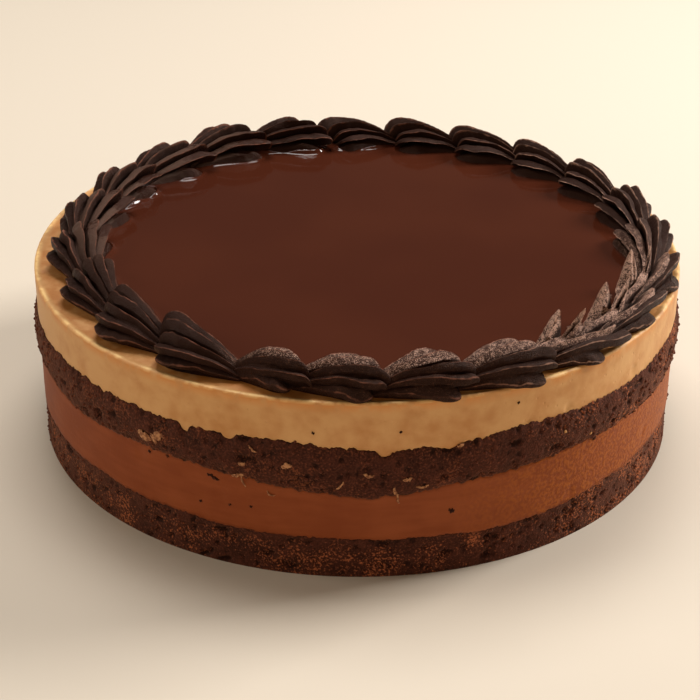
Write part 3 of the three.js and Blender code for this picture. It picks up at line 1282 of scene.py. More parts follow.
class ShellTree(Recipe):
    """The tree that turns a cylinder into a ribbed shell, with its head at -X and its tail at +X."""

    def __init__(self, form: ShellForm, bend: float, finish: bpy.types.Material) -> None:
        """Wire the whole tree, with a shell's sizes as named inputs.

        Args:
            form: How every shell is shaped.
            bend: Radius of the path that a shell bends along, in millimetres.
            finish: The ganache's material.
        """
        super().__init__("piped_shell")
        self.form = form
        self.length, self.width, self.height = (self.size(name) for name in ("Length", "Width", "Height"))
        self.outward, self.point = self.size("Outward"), self.size("Point")
        self.wet, self.seed = self.size("Wet"), self.size("Seed")
        self.half_points = form.ribs * form.half_rib_points + form.under_points
        self.arch_end = form.ribs * form.half_rib_points / self.half_points
        self.find_place()
        self.find_rib()
        lean, depth = self.lean(), self.depth()
        place = self.place(lean, depth, bend)
        shaped = self.move(self.marked(depth), Position=place)
        self.close(self.sharpened(self.roughened(shaped)), finish)

    def find_place(self) -> None:
        """Find where on the cylinder each point is: along it, round it, and how near to its skin."""
        x, y, z = self.parts(self.position())
        self.skin = self.math("SQRT", x * x + y * y)
        self.station = self.math("POWER", self.math("MAXIMUM", z + 0.5, 0.0), self.form.crowding)
        self.head = self.ramp(self.station, self.form.head, 1.0, 0.0)
        self.round_share = self.math("ARCTAN2", y, x) * (1 / math.pi)
        turned = self.math("ABSOLUTE", self.round_share)
        self.under = self.ramp(turned, (self.arch_end, 1.0))
        self.is_under = self.math("GREATER_THAN", turned, self.arch_end + SLACK)

    def find_rib(self) -> None:
        """Find which rib each point is on, where across it, and what kind of rib it is.

        Across a rib, the column runs from -1 in the gap on its inner side, over its ridge, down its
        face and over its brow, to 1 in the gap on its outer side.
        """
        form = self.form
        rib = self.round_share * (form.ribs / (2 * self.arch_end))
        self.nearest = self.math("ROUND", rib)
        self.gap = self.nearest + self.math("SIGN", rib - self.nearest) * 0.5
        self.column = (rib - self.nearest) * (2.0 * self.outward)
        self.ridge_distance = self.column + form.ridge_column
        before = 0.0 - form.ridge_column - self.column
        self.inner = self.math("DIVIDE", before, 1 - form.ridge_column, clamp=True)
        face = form.brow_column + form.ridge_column
        self.face = self.math("DIVIDE", self.ridge_distance, face, clamp=True)
        beyond = self.column - form.brow_column
        self.outer = self.math("DIVIDE", beyond, 1 - form.brow_column, clamp=True)
        self.outside = self.math("DIVIDE", self.nearest * self.outward, form.side_ribs, clamp=True)
        inside = self.nearest * self.outward * -1.0
        self.inmost = self.math("SUBTRACT", inside, 1.0, clamp=True) * self.point
        self.blunt = self.outside + self.inmost
        self.low = self.math("ADD", self.nearest * self.outward, 1.0, clamp=True)
        self.leaf = self.point * (1.0 - self.blunt)
        near_point = self.math("SUBTRACT", 1.0, self.station * (1 / form.point_length), clamp=True)
        self.keen = near_point * self.point * (1.0 - self.blunt)
        upright = self.math("COSINE", self.nearest * math.radians(form.rib_step))
        self.upright = self.math("MAXIMUM", upright, 0.0)
        self.tip = self.sway(form.tip, self.nearest) - 0.5

    def sway(self, sway: RibSway, rib: Field) -> Field:
        """Slow noise, about 0.5, that is read by the rib or the gap that each point is on."""
        place = self.vector(rib * sway.rib, self.station * sway.along + sway.start, sway.level)
        return self.noise(place, sway.scale, sway.detail, self.seed + sway.seed)

    def lean(self) -> Field:
        """Spread each rib's points over its ridge, its face and the gaps beside it.

        Returns:
            How far each point lies to the side of its rib's middle, from -1 to 1.
        """
        form = self.form
        wide = self.curve(self.station, form.spread)
        taper = self.math("MULTIPLY", self.station, 1 / form.point_taper, clamp=True)
        spread = wide + (1.0 - wide) * self.blunt * form.blunt_side
        spread = spread * (1.0 - self.leaf * (1.0 - taper) * form.point_narrow)
        ridge, brow = spread * form.ridge_side, spread * form.brow_side
        return self.face * (ridge + brow) - ridge + self.outer * (1.0 - brow) - self.inner * (1.0 - ridge)

    def depth(self) -> Field:
        """Cut the grooves between the ribs.

        Returns:
            How far each point is sunk, as a share of the shell's reach.
        """
        form = self.form
        opened = self.sway(form.gap, self.gap)
        groove = form.groove_tail + (form.groove_head - form.groove_tail) * self.head
        groove = groove * self.ramp(opened, form.gap_step, form.gap_closed, form.gap_open)
        groove = groove * (self.leaf * form.leaf_groove + 1.0)
        groove = groove * self.curve(self.gap * self.outward * (1 / (form.ribs - 1)) + 0.5, form.openings)
        fall = form.face_fall * (self.tip * form.face_sway + 1.0)
        outside = self.face * fall + self.outer * (groove - fall)
        return self.math("MINIMUM", self.math("MAXIMUM", self.inner * groove, outside), form.deepest)

    def rise(self) -> Field:
        """Raise the shell from its tail to its head, and the leaves of a pointed shell further.

        Returns:
            The height at each station, as a share of the shell's.
        """
        form = self.form
        rise = self.curve(self.station, form.rise)
        tail = self.ramp(self.station, form.leaf_tail, form.leaf_rise, 0.0) * (1.0 - self.low * form.leaf_low)
        fill = self.ramp(self.station, form.leaf_fill, self.leaf, 0.0)
        rise = rise + (1.0 - rise) * fill - tail * self.leaf
        lift = self.math("POWER", self.keen, form.point_power) * (1.0 - self.low * form.point_low)
        rise = rise + lift * form.point_lift
        return rise * (1.0 - self.inmost * form.inmost_drop)

    def along(self, lean: Field) -> Field:
        """Stagger the ribs' ends, notch the head between them and hollow it.

        Args:
            lean: How far each point lies to the side of its rib's middle.

        Returns:
            The place of each point along the shell, in metres.
        """
        form = self.form
        edge_run = lean * lean + (self.math("ABSOLUTE", lean) - lean * lean) * self.leaf
        notch = edge_run * (1.0 - self.blunt * form.blunt_notch + self.keen) * (form.finger_notch * MM)
        notch_length = self.point * form.point_notch + form.notch_length
        notch = self.math("SUBTRACT", 1.0, self.station / notch_length, clamp=True) * notch
        retreat = (1.0 - self.upright) * (form.side_retreat * MM)
        retreat = retreat + self.tip * (1.0 - self.leaf) * (form.tip_spread * MM)
        retreat = retreat + self.inmost * (form.inmost_retreat * MM)
        lead = self.curve(self.nearest * (1 / (form.ribs - 1)) + 0.5, form.leads) - 0.5
        retreat = retreat - lead * (self.point * form.point_stagger + 1.0) * (form.stagger * MM)
        hollow = 1.0 - self.skin
        along = (self.station - 0.5) * self.length + (retreat * self.head + notch) * self.skin
        along = along + hollow * (form.bowl * MM)
        set_back = (1.0 - self.outside) * form.point_setback + hollow * form.point_bowl
        return along + self.point * set_back * MM

    def place(self, lean: Field, depth: Field, bend: float) -> Socket:
        """Put each point in its place on the shell.

        Args:
            lean: How far each point lies to the side of its rib's middle.
            depth: How far each point is sunk.
            bend: Radius of the path that the shell bends along, in millimetres.

        Returns:
            The new places.
        """
        form = self.form
        wander = (self.sway(form.wander, self.nearest) - 0.5) * (1.0 - self.leaf * form.leaf_wander)
        turn = self.nearest + lean * self.outward * 0.5 + wander * form.wander_share
        angle = turn * math.radians(form.rib_step)
        lobe = (self.sway(form.lobe, self.nearest) - 0.5) * (1.0 - self.leaf * form.leaf_lobe)
        sunk = depth * (self.upright * (1 - form.side_depth) + form.side_depth)
        reach = 1.0 - sunk + lobe * form.lobe_share
        girth = self.curve(self.station, form.girth) * self.skin * self.width
        height = self.rise() * self.height
        axis = height * form.axis_height
        lift = self.math("COSINE", angle)
        lift = self.math("SIGN", lift) * self.math("POWER", self.math("ABSOLUTE", lift), form.arch_power)
        across = girth * 0.5 * reach * self.math("SINE", angle)
        side = self.math("SIGN", self.round_share)
        foot = girth * (0.5 * form.foot_width) * side * (1.0 - self.under)
        across = across + (foot - across) * self.is_under
        floor = -form.sunk * MM
        up = self.math("MAXIMUM", axis + (height - axis) * reach * lift * self.skin, floor)
        up = up + (floor - up) * self.is_under
        flare = self.ramp(self.station, form.point_flared, self.point, 0.0) * (1.0 - self.low)
        flare = flare * (form.point_flare * MM) * (1.0 - self.is_under)
        along = self.along(lean)
        bent = across - self.outward * (along * along * (0.5 / (bend * MM)) + flare)
        return self.vector(along - across * form.slant, bent, up)

    def marked(self, depth: Field) -> Socket:
        """Make the cylinder and keep on its points what the finish reads.

        Args:
            depth: How far each point is sunk.

        Returns:
            The cylinder.
        """
        form = self.form
        blank = self.node("GeometryNodeMeshCylinder", fill_type="TRIANGLE_FAN")
        self.feed_all(blank, {"Vertices": 2 * self.half_points, "Side Segments": form.stations})
        self.feed_all(blank, {"Fill Segments": form.cap_rings, "Radius": 1.0, "Depth": 1.0})
        shell = self.feed_all(self.node("GeometryNodeFlipFaces"), {"Mesh": blank.outputs["Mesh"]}).outputs[0]
        above = 1.0 - self.is_under
        from_ridge = self.math("ABSOLUTE", self.ridge_distance) * (1 / form.line_width)
        hollow = depth * (1.0 - self.keen * form.point_shade) * (1 / form.groove_head)
        inside = self.math("DIVIDE", self.nearest * self.outward, -form.side_ribs, clamp=True)
        marks = {
            # edge marks the ridge line, whose redder colour is partly a painted rim highlight.
            "edge": self.math("SUBTRACT", 1.0, from_ridge, clamp=True) * above,
            # deep places painted shade in the grooves and hollows.
            "deep": self.math("MAXIMUM", hollow, 1.0 - self.skin),
            "outer": self.math("SUBTRACT", self.nearest * self.outward, self.point, clamp=True),
            "wet": self.wet * inside * self.head,
            "leaf": self.ramp(self.station, form.leaf_marked, self.leaf, 0.0) * above,
        }
        for name, value in marks.items():
            shell = self.store(shell, name, value)
        return shell

    def roughened(self, shell: Socket) -> Socket:
        """Mark what faces up, for painted light and frost on the tops, and make the surface lumpy and its
        edges ragged.

        Args:
            shell: The shaped shell.

        Returns:
            The roughened shell.
        """
        form = self.form
        normal = self.normal()
        # How far each point faces up, which places painted light and frost on the tops; outer ribs are held
        # back as painted shade.
        upper = self.math("MAXIMUM", self.parts(normal)[2], 0.0)
        facing = self.math("MAXIMUM", upper, self.attribute("leaf") * form.leaf_frost_and_light)
        kept = self.store(shell, "frost", facing * (1.0 - self.attribute("outer") * form.outer_shade))
        lumps = (self.noise(self.position(), form.lumps, seed=self.seed) - 0.5) * form.lump
        rags = self.noise(self.position(), form.rags, seed=self.seed + form.rag_seed) - 0.5
        rags = rags * self.attribute("edge")
        off_floor = self.math("GREATER_THAN", self.parts(self.position())[2], 0.0)
        return self.move(kept, Offset=self.scaled(normal, (lumps + rags * form.rag) * off_floor * MM))

    def sharpened(self, shell: Socket) -> Socket:
        """Keep the ribs' edges crisp under smooth shading.

        Args:
            shell: The roughened shell.

        Returns:
            The shell with its sharp edges marked.
        """
        bend = Field(self, self.node("GeometryNodeInputMeshEdgeAngle").outputs["Unsigned Angle"])
        sharp = self.math("GREATER_THAN", bend, math.radians(self.form.sharp))
        edges = self.node("GeometryNodeSetShadeSmooth", domain="EDGE")
        return self.feed_all(edges, {"Geometry": shell, "Selection": sharp, "Shade Smooth": False}).outputs[0]


@dataclass(frozen=True)
class Shell:
    """One piped shell: its size in millimetres and its place on the border."""

    name: str
    node: str
    width: float
    height: float
    length: float
    outward: float
    point: float
    wet: float
    seed: float
    place: Matrix


@dataclass(frozen=True)
class RunPlan:
    """How one run of the border is piped, with angles in degrees.

    The statures are the heights of its shells at the four shares of the run that the border gives.
    """

    start: float
    sweep: float
    count: int
    easing: float = 0.0
    statures: Sequence[float] = (1.0, 1.0, 1.0, 1.0)
    pointed: range = range(0)
    wet: range = range(0)
    seed: float = 0.0

    def head(self, index: int) -> float:
        """The azimuth, in degrees, at which a shell starts."""
        share = index / self.count
        return self.start + self.sweep * (share + self.easing * share**3 * (1 - share))


PLANS = {
    Run.RIGHT: RunPlan(97.7, -210.5, 14, easing=0.3, pointed=range(7, 10)),
    Run.LEFT: RunPlan(102.3, 144.5, 9, statures=(1.22, 1.3, 1.1, 1.0), wet=range(1, 6), seed=200.0),
}


@dataclass
class Border:
    """The piped border: two runs of ribbed shells that start together at the back."""

    radius: float = 99.3
    swell: float = 4.0
    swell_at: float = -70.0
    swell_width: float = 45.0
    centre: Vector = field(default_factory=lambda: Vector((2.5, -3.5)))
    seed: int = 23
    seed_step: float = 10.0
    width_share: float = 0.86
    height: float = 11.4
    tail_tuck: float = 5.0
    size_spread: float = 0.1
    turn_spread: float = 8.0
    stature_at: Sequence[float] = (0.0, 0.4, 0.6, 0.8)
    rim_ease: float = 1.5
    droop: float = 0.55
    pull: float = 0.45
    form: ShellForm = ShellForm()

    def path_radius(self, azimuth: float) -> float:
        """How far from the border's centre a shell sits: further out at the front."""
        away = math.remainder(azimuth - math.radians(self.swell_at), 2 * math.pi)
        return self.radius + self.swell * math.exp(-((away / math.radians(self.swell_width)) ** 2))

    def shells(self) -> Iterator[Shell]:
        """Lay out both runs.

        Returns:
            Each shell, in the order that they are piped.
        """
        draw = Draw(self.seed)
        for run, plan in PLANS.items():
            for index in range(plan.count):
                head, tail = plan.head(index), plan.head(index + 1)
                middle = math.radians((head + tail) / 2)
                pitch = self.radius * math.radians(abs(tail - head))
                size = 1 + self.size_spread / 2 * draw.next()
                stature = float(np.interp(index / plan.count, self.stature_at, plan.statures))
                slew = math.radians(self.turn_spread / 2 * draw.next())
                turn = Matrix.Rotation(middle + run.value * math.pi / 2 + slew, 4, "Z")
                spot = Vector((math.cos(middle), math.sin(middle))) * self.path_radius(middle) + self.centre
                label = f"{run.name.lower()}_{index + 1:02d}"
                yield Shell(
                    name=f"piped_{label}",
                    node=f"shell_{label}",
                    width=self.width_share * pitch * size,
                    height=self.height * size * stature,
                    length=pitch + self.tail_tuck,
                    outward=-run.value,
                    point=float(index in plan.pointed),
                    wet=float(index in plan.wet),
                    seed=self.seed_step * (index + 1) + plan.seed,
                    place=Matrix.Translation((spot.x * MM, spot.y * MM, CAKE.top * MM)) @ turn,
                )

    def build(self, finish: bpy.types.Material) -> list[bpy.types.Object]:
        """Pipe every shell and tie it to the cake.

        Args:
            finish: The ganache's material.

        Returns:
            The finished shells.
        """
        tree = ShellTree(self.form, self.radius, finish)
        pieces = []
        for shell in self.shells():
            piece = add_object(shell.name, bpy.data.meshes.new(shell.name))
            tree.run(
                piece,
                Length=shell.length * MM,
                Width=shell.width * MM,
                Height=shell.height * MM,
                Outward=shell.outward,
                Point=shell.point,
                Wet=shell.wet,
                Seed=shell.seed,
            )
            piece.data.transform(shell.place)
            self.settle(piece.data)
            pieces.append(hand_over(piece, "ganache", shell.node))
        return pieces

    def settle(self, mesh: bpy.types.Mesh) -> None:
        """Let what reaches over the rim sink and draw in, as soft piping does.

        Args:
            mesh: The mesh of a shell in its place.
        """
        flat = np.empty(3 * len(mesh.vertices), np.float32)
        mesh.vertices.foreach_get("co", flat)
        points = flat.reshape(-1, 3)
        reach = np.hypot(points[:, 0], points[:, 1])
        over = np.maximum(reach - (CAKE.radius - self.rim_ease) * MM, 0.0)
        points[:, :2] *= (1 - self.pull * over / reach)[:, None]
        points[:, 2] -= self.droop * over
        mesh.vertices.foreach_set("co", points.ravel())
        mesh.update()


@dataclass
class GlazePool:
    """The poured glaze inside the border, drawn up where it touches the piping."""

    border: Border
    tuck: float = 3.0
    foot: float = 0.5
    climb: float = 1.5
    climb_width: float = 0.75
    climb_reach: float = 5.0
    climb_share: float = 0.7
    climb_sway: float = 1.1
    climb_patches: float = 130.0
    dry_from: float = 25.0
    segments: int = 1080
    fine_rings: int = 62
    fine_band: float = 20.0
    coarse_rings: int = 12
    inner_radius: float = 2.0
    depth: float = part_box("glaze")[1].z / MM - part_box("glaze")[0].z / MM

    def build(self, piping: Sequence[bpy.types.Object], finish: bpy.types.Material) -> bpy.types.Object:
        """Pour the glaze and let it climb the shells round it.

        Args:
            piping: The shells that the glaze meets.
            finish: The glaze's material.

        Returns:
            The finished piece.
        """
        rim = self.border.radius - self.tuck
        fine = np.linspace(rim, rim - self.fine_band, self.fine_rings)
        coarse = np.linspace(rim - self.fine_band, self.inner_radius, self.coarse_rings)[1:]
        radii = np.concatenate([[rim], fine, coarse])[:, None] * np.ones(self.segments)
        heights = np.full_like(radii, CAKE.top + self.depth)
        heights[0] = CAKE.top - self.foot
        mesh = turned_mesh("glaze_pool", radii, heights, self.border.centre)
        self.climb_shells(mesh, surface_of(piping))
        mesh.materials.append(finish)
        return hand_over(add_object("glaze_pool", mesh), "glaze", "glaze")

    def climb_shells(self, mesh: bpy.types.Mesh, shells: BVHTree) -> None:
        """Raise the surface near the shells, as a wet film does.

        Args:
            mesh: The glaze's mesh.
            shells: The surface of the shells.
        """
        level = (CAKE.top + self.depth - self.foot) * MM
        for vertex in mesh.vertices:
            if vertex.co.z < level:
                continue
            found = shells.find_nearest(vertex.co, self.climb_reach * self.climb_width * MM)
            if found[0] is None:
                continue
            away = found[3] / (self.climb_width * MM)
            fade = (1 - (away / self.climb_reach) ** 2) ** 2
            wet = min(max(1 - vertex.co.x / (self.dry_from * MM), 0), 1)
            patchy = self.climb_share + self.climb_sway * noise.noise(vertex.co * self.climb_patches)
            vertex.co.z += self.climb * MM * (patchy * wet) * fade * math.exp(-away)


@dataclass(frozen=True)
class Scatter:
    """Small bits spread over the side of a layer, one joined piece for each kind."""

    name: str
    slot: str
    count_per_cm2: float
    size: float
    seed: int
    spread: float = 0.6
    facets: int = 1
    cluster: float = 0.0
    flat: float = 1.0
    steepest: float = 0.5
    patches: float = 70.0
    patch_seed: float = 9.0
    patch_start: float = 0.5
    patch_full: float = 0.7
    cluster_share: float = 0.25
    floor_gap: float = 2.0
    wobbles: float = 0.7
    wobble: float = 1.2
    wobble_seed: float = 2.0
    crumb_level: float = 0.75

    def points(self, tree: Recipe) -> bpy.types.Node:
        """Choose where the bits lie: on steep faces clear of the floor, in patches.

        Args:
            tree: The tree that the nodes go in.

        Returns:
            The node that spreads the points.
        """
        tilt = tree.math("ABSOLUTE", tree.parts(tree.normal())[2])
        steep = tree.math("LESS_THAN", tilt, self.steepest)
        height = tree.parts(tree.position())[2]
        above_floor = tree.math("GREATER_THAN", height, self.floor_gap * self.size * MM)
        patch = tree.noise(tree.position(), self.patches, seed=self.patch_seed)
        patch_step = (self.patch_start - self.cluster_share * self.cluster, self.patch_full)
        density = tree.ramp(patch, patch_step) * (self.count_per_cm2 * PER_CM2)
        points = tree.node("GeometryNodeDistributePointsOnFaces")
        tree.feed_all(points, {"Mesh": tree.inputs.outputs["Geometry"], "Selection": steep * above_floor})
        return tree.feed_all(points, {"Density": density, "Seed": tree.size("Seed", "NodeSocketInt")})

    def amount(self, tree: Recipe) -> Field:
        """Draw a size for each bit.

        Args:
            tree: The tree that the nodes go in.

        Returns:
            The sizes, about 1.
        """
        draw = tree.node("FunctionNodeRandomValue", data_type="FLOAT")
        for name, value in (("Min", 1 - self.spread), ("Max", 1 + self.spread)):
            socket = next(s for s in draw.inputs if s.name == name and s.type == "VALUE" and s.enabled)
            socket.default_value = value
        return Field(tree, next(s for s in draw.outputs if s.enabled))

    def build(self, ground: bpy.types.Object, finish: bpy.types.Material) -> bpy.types.Object:
        """Spread the bits over a finished piece.

        Args:
            ground: The piece that they lie on.
            finish: The bits' material.

        Returns:
            The bits as one piece.
        """
        tree = Recipe(self.name)
        size = tree.size("Size")
        points = self.points(tree)
        bit = tree.node("GeometryNodeMeshIcoSphere")
        tree.feed_all(bit, {"Subdivisions": self.facets, "Radius": size})
        amount = self.amount(tree)
        placed = tree.node("GeometryNodeInstanceOnPoints")
        tree.feed_all(placed, {"Points": points.outputs["Points"], "Instance": bit.outputs[0]})
        tree.feed(placed.inputs["Rotation"], points.outputs["Rotation"])
        tree.feed(placed.inputs["Scale"], tree.vector(amount, amount, amount * self.flat))
        real = tree.node("GeometryNodeRealizeInstances")
        tree.feed(real.inputs[0], placed.outputs[0])
        fine = self.wobbles / (self.size * MM)
        wobble = tree.noise(tree.position(), fine, detail=1.0, seed=self.wobble_seed) - 0.5
        lumpy = tree.move(real.outputs[0], Offset=tree.scaled(tree.normal(), wobble * size * self.wobble))
        tree.close(tree.store(lumpy, "crumb", wobble + self.crumb_level), finish)
        piece = add_object(self.name, ground.data.copy())
        tree.run(piece, Size=self.size * MM, Seed=self.seed)
        return hand_over(piece, self.slot)


@dataclass(frozen=True)
class Bit:
    """A sliver stuck to the side: its place, and its size, turn and curl, in millimetres and degrees."""

    azimuth: float
    height: float
    length: float
    width: float
    turn: float
    curl: float = 0.0


@dataclass(frozen=True)
class StuckBits:
    """Slivers of one kind that the knife has left on the side, joined into one piece."""

    name: str
    slot: str
    bits: Sequence[Bit]
    thickness: float = 0.5
    bow: float = 0.5
    blunt: float = 0.04
    ragged: float = 0.55
    tear_scale: float = 1.3
    tear_run: float = 7.0
    sway_run: float = 4.0
    stations: int = 13
    corners: int = 10

    def build(self, grounds: Sequence[bpy.types.Object], finish: bpy.types.Material) -> bpy.types.Object:
        """Lay every sliver on the layers.

        Args:
            grounds: The layers that they stick to.
            finish: The slivers' material.

        Returns:
            The slivers as one piece.
        """
        side = surface_of(grounds)
        points: list[Vector] = []
        faces: list[Sequence[int]] = []
        for bit in self.bits:
            faces += self.faces(len(points))
            points += self.rings(bit, side)
        mesh = make_mesh(self.name, [tuple(point) for point in points], faces)
        mesh.materials.append(finish)
        return hand_over(add_object(self.name, mesh), self.slot)

    def reach(self, side: BVHTree, azimuth: float, height: float) -> float:
        """How far out the side stands.

        Args:
            side: The surface of the layers.
            azimuth: Where it is asked for, in radians from +X.
            height: At what height, in millimetres.

        Returns:
            The distance from the cake's axis, in millimetres.
        """
        out = Vector((math.cos(azimuth), math.sin(azimuth), 0.0))
        start = out * (2 * CAKE.radius * MM) + Vector((0, 0, height * MM))
        found = side.ray_cast(start, -out)
        return math.hypot(found[0].x, found[0].y) / MM

    def rings(self, bit: Bit, side: BVHTree) -> Iterator[Vector]:
        """Lay one sliver along a curling line on the side.

        Args:
            bit: The sliver.
            side: The surface that it sticks to.

        Returns:
            Its points, ring by ring, in metres.
        """
        step = bit.length / (self.stations - 1)
        shares = [i / (self.stations - 1) for i in range(self.stations)]
        headings = [math.radians(bit.turn + bit.curl * (share - 0.5)) for share in shares]
        across = np.cumsum([step * math.cos(heading) for heading in headings])
        climb = np.cumsum([step * math.sin(heading) for heading in headings])
        turns = math.radians(bit.azimuth) + (across - across.mean()) / CAKE.radius
        heights = bit.height + climb - climb.mean()
        reach = float(np.mean([self.reach(side, turn, height) for turn, height in zip(turns, heights)]))
        for share, heading, turn, height in zip(shares, headings, turns, heights):
            out = Vector((math.cos(turn), math.sin(turn), 0.0))
            along = Vector((-out.y, out.x, 0.0)) * math.cos(heading) + Vector((0, 0, math.sin(heading)))
            flank = out.cross(along)
            taper = math.sqrt(math.sin(math.pi * (self.blunt + (1 - 2 * self.blunt) * share)))
            torn = noise.noise(Vector((self.tear_run * share, bit.azimuth, bit.height)) * self.tear_scale)
            swayed = noise.noise(Vector((self.sway_run * share, bit.height, bit.azimuth)))
            spine = flank * (self.ragged * bit.width * swayed)
            spine = spine + out * (reach + self.bow * math.sin(math.pi * share)) + Vector((0, 0, height))
            for corner in range(self.corners):
                angle = 2 * math.pi * corner / self.corners
                wide = flank * (bit.width / 2 * taper * (1 + self.ragged * torn) * math.cos(angle))
                thick = out * (self.thickness / 2 * taper * math.sin(angle))
                yield (spine + wide + thick) * MM

    def faces(self, first: int) -> Iterator[Sequence[int]]:
        """Join one sliver's rings and close its two ends.

        Args:
            first: The number of its first point.

        Returns:
            The points of each face.
        """
        for row in range(self.stations - 1):
            here, there = first + row * self.corners, first + (row + 1) * self.corners
            for corner in range(self.corners):
                after = (corner + 1) % self.corners
                yield here + corner, here + after, there + after, there + corner
        last = first + (self.stations - 1) * self.corners
        yield tuple(first + corner for corner in reversed(range(self.corners)))
        yield tuple(last + corner for corner in range(self.corners))


@dataclass(frozen=True)
class Lamp:
    """A square soft light that faces the cake: its place and width in metres, its power in watts."""

    name: str
    place: Place
    size: float
    power: float
    colour: Colour
    aim: Place = (0.0, 0.0, 0.03)

    def hang(self) -> None:
        """Put the lamp in the scene."""
        data = bpy.data.lights.new(self.name, "AREA")
        data.size = self.size
        data.energy = self.power
        data.color = self.colour
        lamp = bpy.data.objects.new(self.name, data)
        lamp.location = self.place
        lamp.rotation_euler = (Vector(self.aim) - Vector(self.place)).to_track_quat("-Z", "Y").to_euler()
        bpy.context.scene.collection.objects.link(lamp)


@dataclass
class Studio:
    """A pale floor, soft lights and the camera at the photograph's angle.

    The key light is at the right and above, with a warm fill in front.
    """

    lens: float = 88.84
    sensor: float = 36.0
    stand: Place = (0.0, -562.5, 321.7)
    pitch: float = 28.17
    yaw: float = -0.235
    roll: float = 0.30
    floor_size: float = 12.0
    air_colour: Colour = (1.0, 0.84, 0.7)
    air_strength: float = 0.06
    lamps: Sequence[Lamp] = (
        Lamp("key_right", (1.1, 0.45, 0.75), 0.5, 26.0, (1.0, 0.97, 0.93)),
        Lamp("overhead", (-0.05, 0.5, 1.4), 0.8, 18.0, (1.0, 0.98, 0.95)),
        Lamp("fill_left", (-1.4, 0.0, 0.7), 0.7, 8.0, (1.0, 0.91, 0.8)),
        Lamp("fill_front", (0.1, -1.6, 0.6), 0.9, 7.0, (1.0, 0.78, 0.56)),
    )

    def camera(self) -> None:
        """Set up the camera."""
        pitch, yaw, roll = (math.radians(angle) for angle in (self.pitch, self.yaw, self.roll))
        look = Vector((math.sin(yaw) * math.cos(pitch), math.cos(yaw) * math.cos(pitch), -math.sin(pitch)))
        right = Vector((math.cos(yaw), -math.sin(yaw), 0.0))
        up = right.cross(look)
        across = right * math.cos(roll) + up * math.sin(roll)
        over = up * math.cos(roll) - right * math.sin(roll)
        data = bpy.data.cameras.new("photo_camera")
        data.lens = self.lens
        data.sensor_width = self.sensor
        data.sensor_fit = "HORIZONTAL"
        camera = bpy.data.objects.new("photo_camera", data)
        turn = Matrix((across, over, -look)).transposed().to_4x4()
        camera.matrix_world = Matrix.Translation(Vector(self.stand) * MM) @ turn
        bpy.context.scene.collection.objects.link(camera)
        bpy.context.scene.camera = camera

    def floor(self) -> None:
        """Lay the floor just under the cake."""
        half = self.floor_size / 2
        mesh = bpy.data.meshes.new("studio_floor")
        corners = [(-half, -half, 0), (half, -half, 0), (half, half, 0), (-half, half, 0)]
        mesh.from_pydata(corners, [], [(0, 1, 2, 3)])
        mesh.materials.append(FloorFinish().build())
        add_object("studio_floor", mesh)

    def light(self) -> None:
        """Hang the lamps in a faintly lit room."""
        for lamp in self.lamps:
            lamp.hang()
        world = bpy.data.worlds.new("studio_air")
        world.use_nodes = True
        air = world.node_tree.nodes["Background"]
        air.inputs["Color"].default_value = (*self.air_colour, 1.0)
        air.inputs["Strength"].default_value = self.air_strength
        bpy.context.scene.world = world
        bpy.context.scene.view_settings.view_transform = "Standard"


SPONGE_RELIEF = Relief(
    lump=0.45, lump_size=5.0, pit=0.9, pit_size=2.6, pit_share=0.4, grain=0.22, grain_size=1.1, tear=1.3)
SMOOTH_RELIEF = Relief(lump=0.16, lump_size=14.0, pit=0.35, pit_size=7.0, pit_share=0.05)
CREAM_RELIEF = Relief(
    lump=0.2, lump_size=12.0, pit=0.4, pit_size=6.0, pit_share=0.08, grain=0.07, grain_size=1.5)

LOWER_SPONGE = Layer(
    "lower_sponge", "sponge_lower", "sponge",
    CAKE.base_line, CAKE.mousse_foot, SPONGE_RELIEF, rows=24, seed=1.0, bulge=-0.3)
MOUSSE = Layer(
    "chocolate_mousse", "mousse", "mousse",
    CAKE.mousse_foot, CAKE.mousse_top, SMOOTH_RELIEF, rows=18, seed=2.0)
UPPER_SPONGE = Layer(
    "upper_sponge", "sponge_upper", "sponge",
    CAKE.mousse_top, CAKE.cream_foot, SPONGE_RELIEF, rows=24, seed=3.0, bulge=1.3)
MOCHA_TOP = CreamLayer(
    "mocha_top", "mocha_cream", "mocha_cream",
    CAKE.cream_foot, LayerLine(CAKE.top), CREAM_RELIEF, rows=30, seed=4.0)

LOWER_CRUMBS = Scatter("lower_crumbs", "sponge", count_per_cm2=14.0, size=0.45, seed=5, cluster=1.0)
UPPER_CRUMBS = Scatter("upper_crumbs", "sponge", count_per_cm2=14.0, size=0.45, seed=6, cluster=1.0)
CREAM_FLECKS = Scatter("cream_flecks", "mocha_cream", count_per_cm2=0.6, size=0.4, seed=7, facets=2, flat=0.6)
CREAM_CRUMBS = Scatter("cream_crumbs", "sponge", count_per_cm2=0.1, size=0.3, seed=8, spread=0.5)

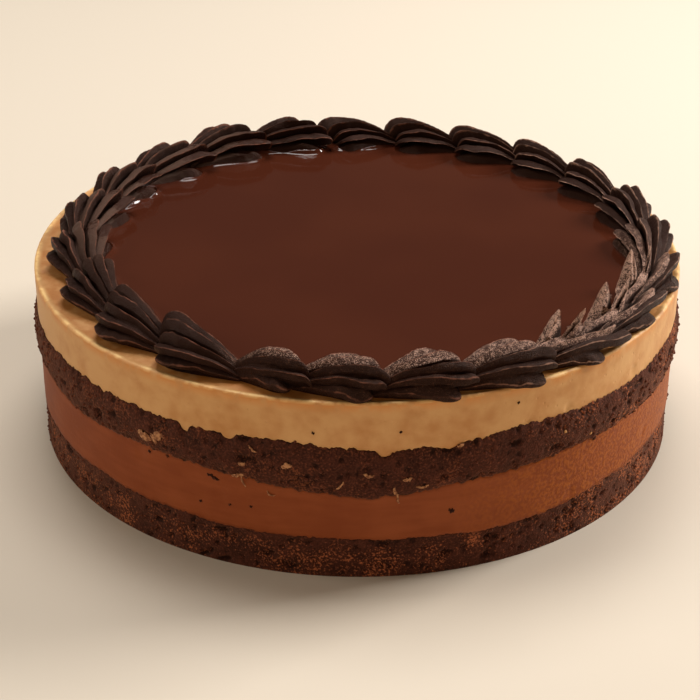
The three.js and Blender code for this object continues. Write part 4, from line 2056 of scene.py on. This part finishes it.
SHAVINGS = StuckBits("stuck_shavings", "mocha_cream", (
    Bit(234.6, 39.4, 6.0, 3.0, -15.0), Bit(237.3, 40.6, 6.0, 3.2, 58.0),
    Bit(251.4, 34.2, 4.6, 1.2, 20.0), Bit(252.2, 32.2, 4.5, 0.7, -65.0),
    Bit(252.3, 39.2, 2.4, 1.4, 30.0), Bit(254.1, 45.0, 3.6, 0.7, -40.0, 30.0),
    Bit(256.7, 29.1, 3.2, 0.5, -30.0, 70.0), Bit(259.4, 40.8, 3.4, 1.9, 10.0),
    Bit(267.7, 34.9, 3.8, 0.7, 50.0, 40.0), Bit(272.0, 38.6, 3.6, 1.2, -15.0, 50.0),
    Bit(278.0, 36.9, 3.0, 1.3, 15.0), Bit(276.2, 32.4, 3.4, 1.1, -75.0),
    Bit(276.7, 29.3, 4.0, 0.8, -85.0, 25.0), Bit(280.4, 33.6, 4.2, 0.9, 5.0, 30.0),
    Bit(286.4, 46.3, 2.4, 1.2, 10.0),
))
SPECKS = StuckBits("stuck_specks", "sponge", (
    Bit(247.0, 31.3, 4.4, 1.3, -22.0), Bit(285.3, 22.7, 2.0, 1.7, 0.0), Bit(234.9, 33.4, 1.2, 0.9, 0.0),
    Bit(238.6, 34.2, 1.2, 0.9, 20.0), Bit(244.6, 21.0, 1.0, 0.8, 0.0), Bit(249.8, 22.4, 1.0, 0.8, 0.0),
    Bit(253.4, 23.2, 1.0, 0.8, 0.0), Bit(312.5, 34.0, 1.6, 1.3, 0.0), Bit(263.5, 52.4, 1.0, 0.9, 0.0),
    Bit(276.9, 53.0, 1.0, 0.8, 30.0), Bit(296.0, 57.5, 0.9, 0.8, 0.0),
), thickness=0.8, bow=0.0)


def main() -> None:
    """Build the cake from the floor up."""
    logging.basicConfig(level=logging.INFO, format="%(name)s: %(message)s")
    studio = Studio()
    studio.camera()
    studio.floor()
    studio.light()
    sponge = SpongeFinish().build()
    cream = CreamFinish().build()
    lower = LOWER_SPONGE.build(sponge)
    mousse = MOUSSE.build(MousseFinish().build())
    upper = UPPER_SPONGE.build(sponge)
    top = MOCHA_TOP.build(cream)
    border = Border()
    piping = border.build(GanacheFinish().build())
    GlazePool(border).build(piping, GlazeFinish().build())
    LOWER_CRUMBS.build(lower, sponge)
    UPPER_CRUMBS.build(upper, sponge)
    CREAM_FLECKS.build(upper, cream)
    CREAM_CRUMBS.build(top, sponge)
    layers = (lower, mousse, upper, top)
    SHAVINGS.build(layers, ShavingFinish().build())
    SPECKS.build(layers, sponge)


if __name__ == "__main__":
    main()
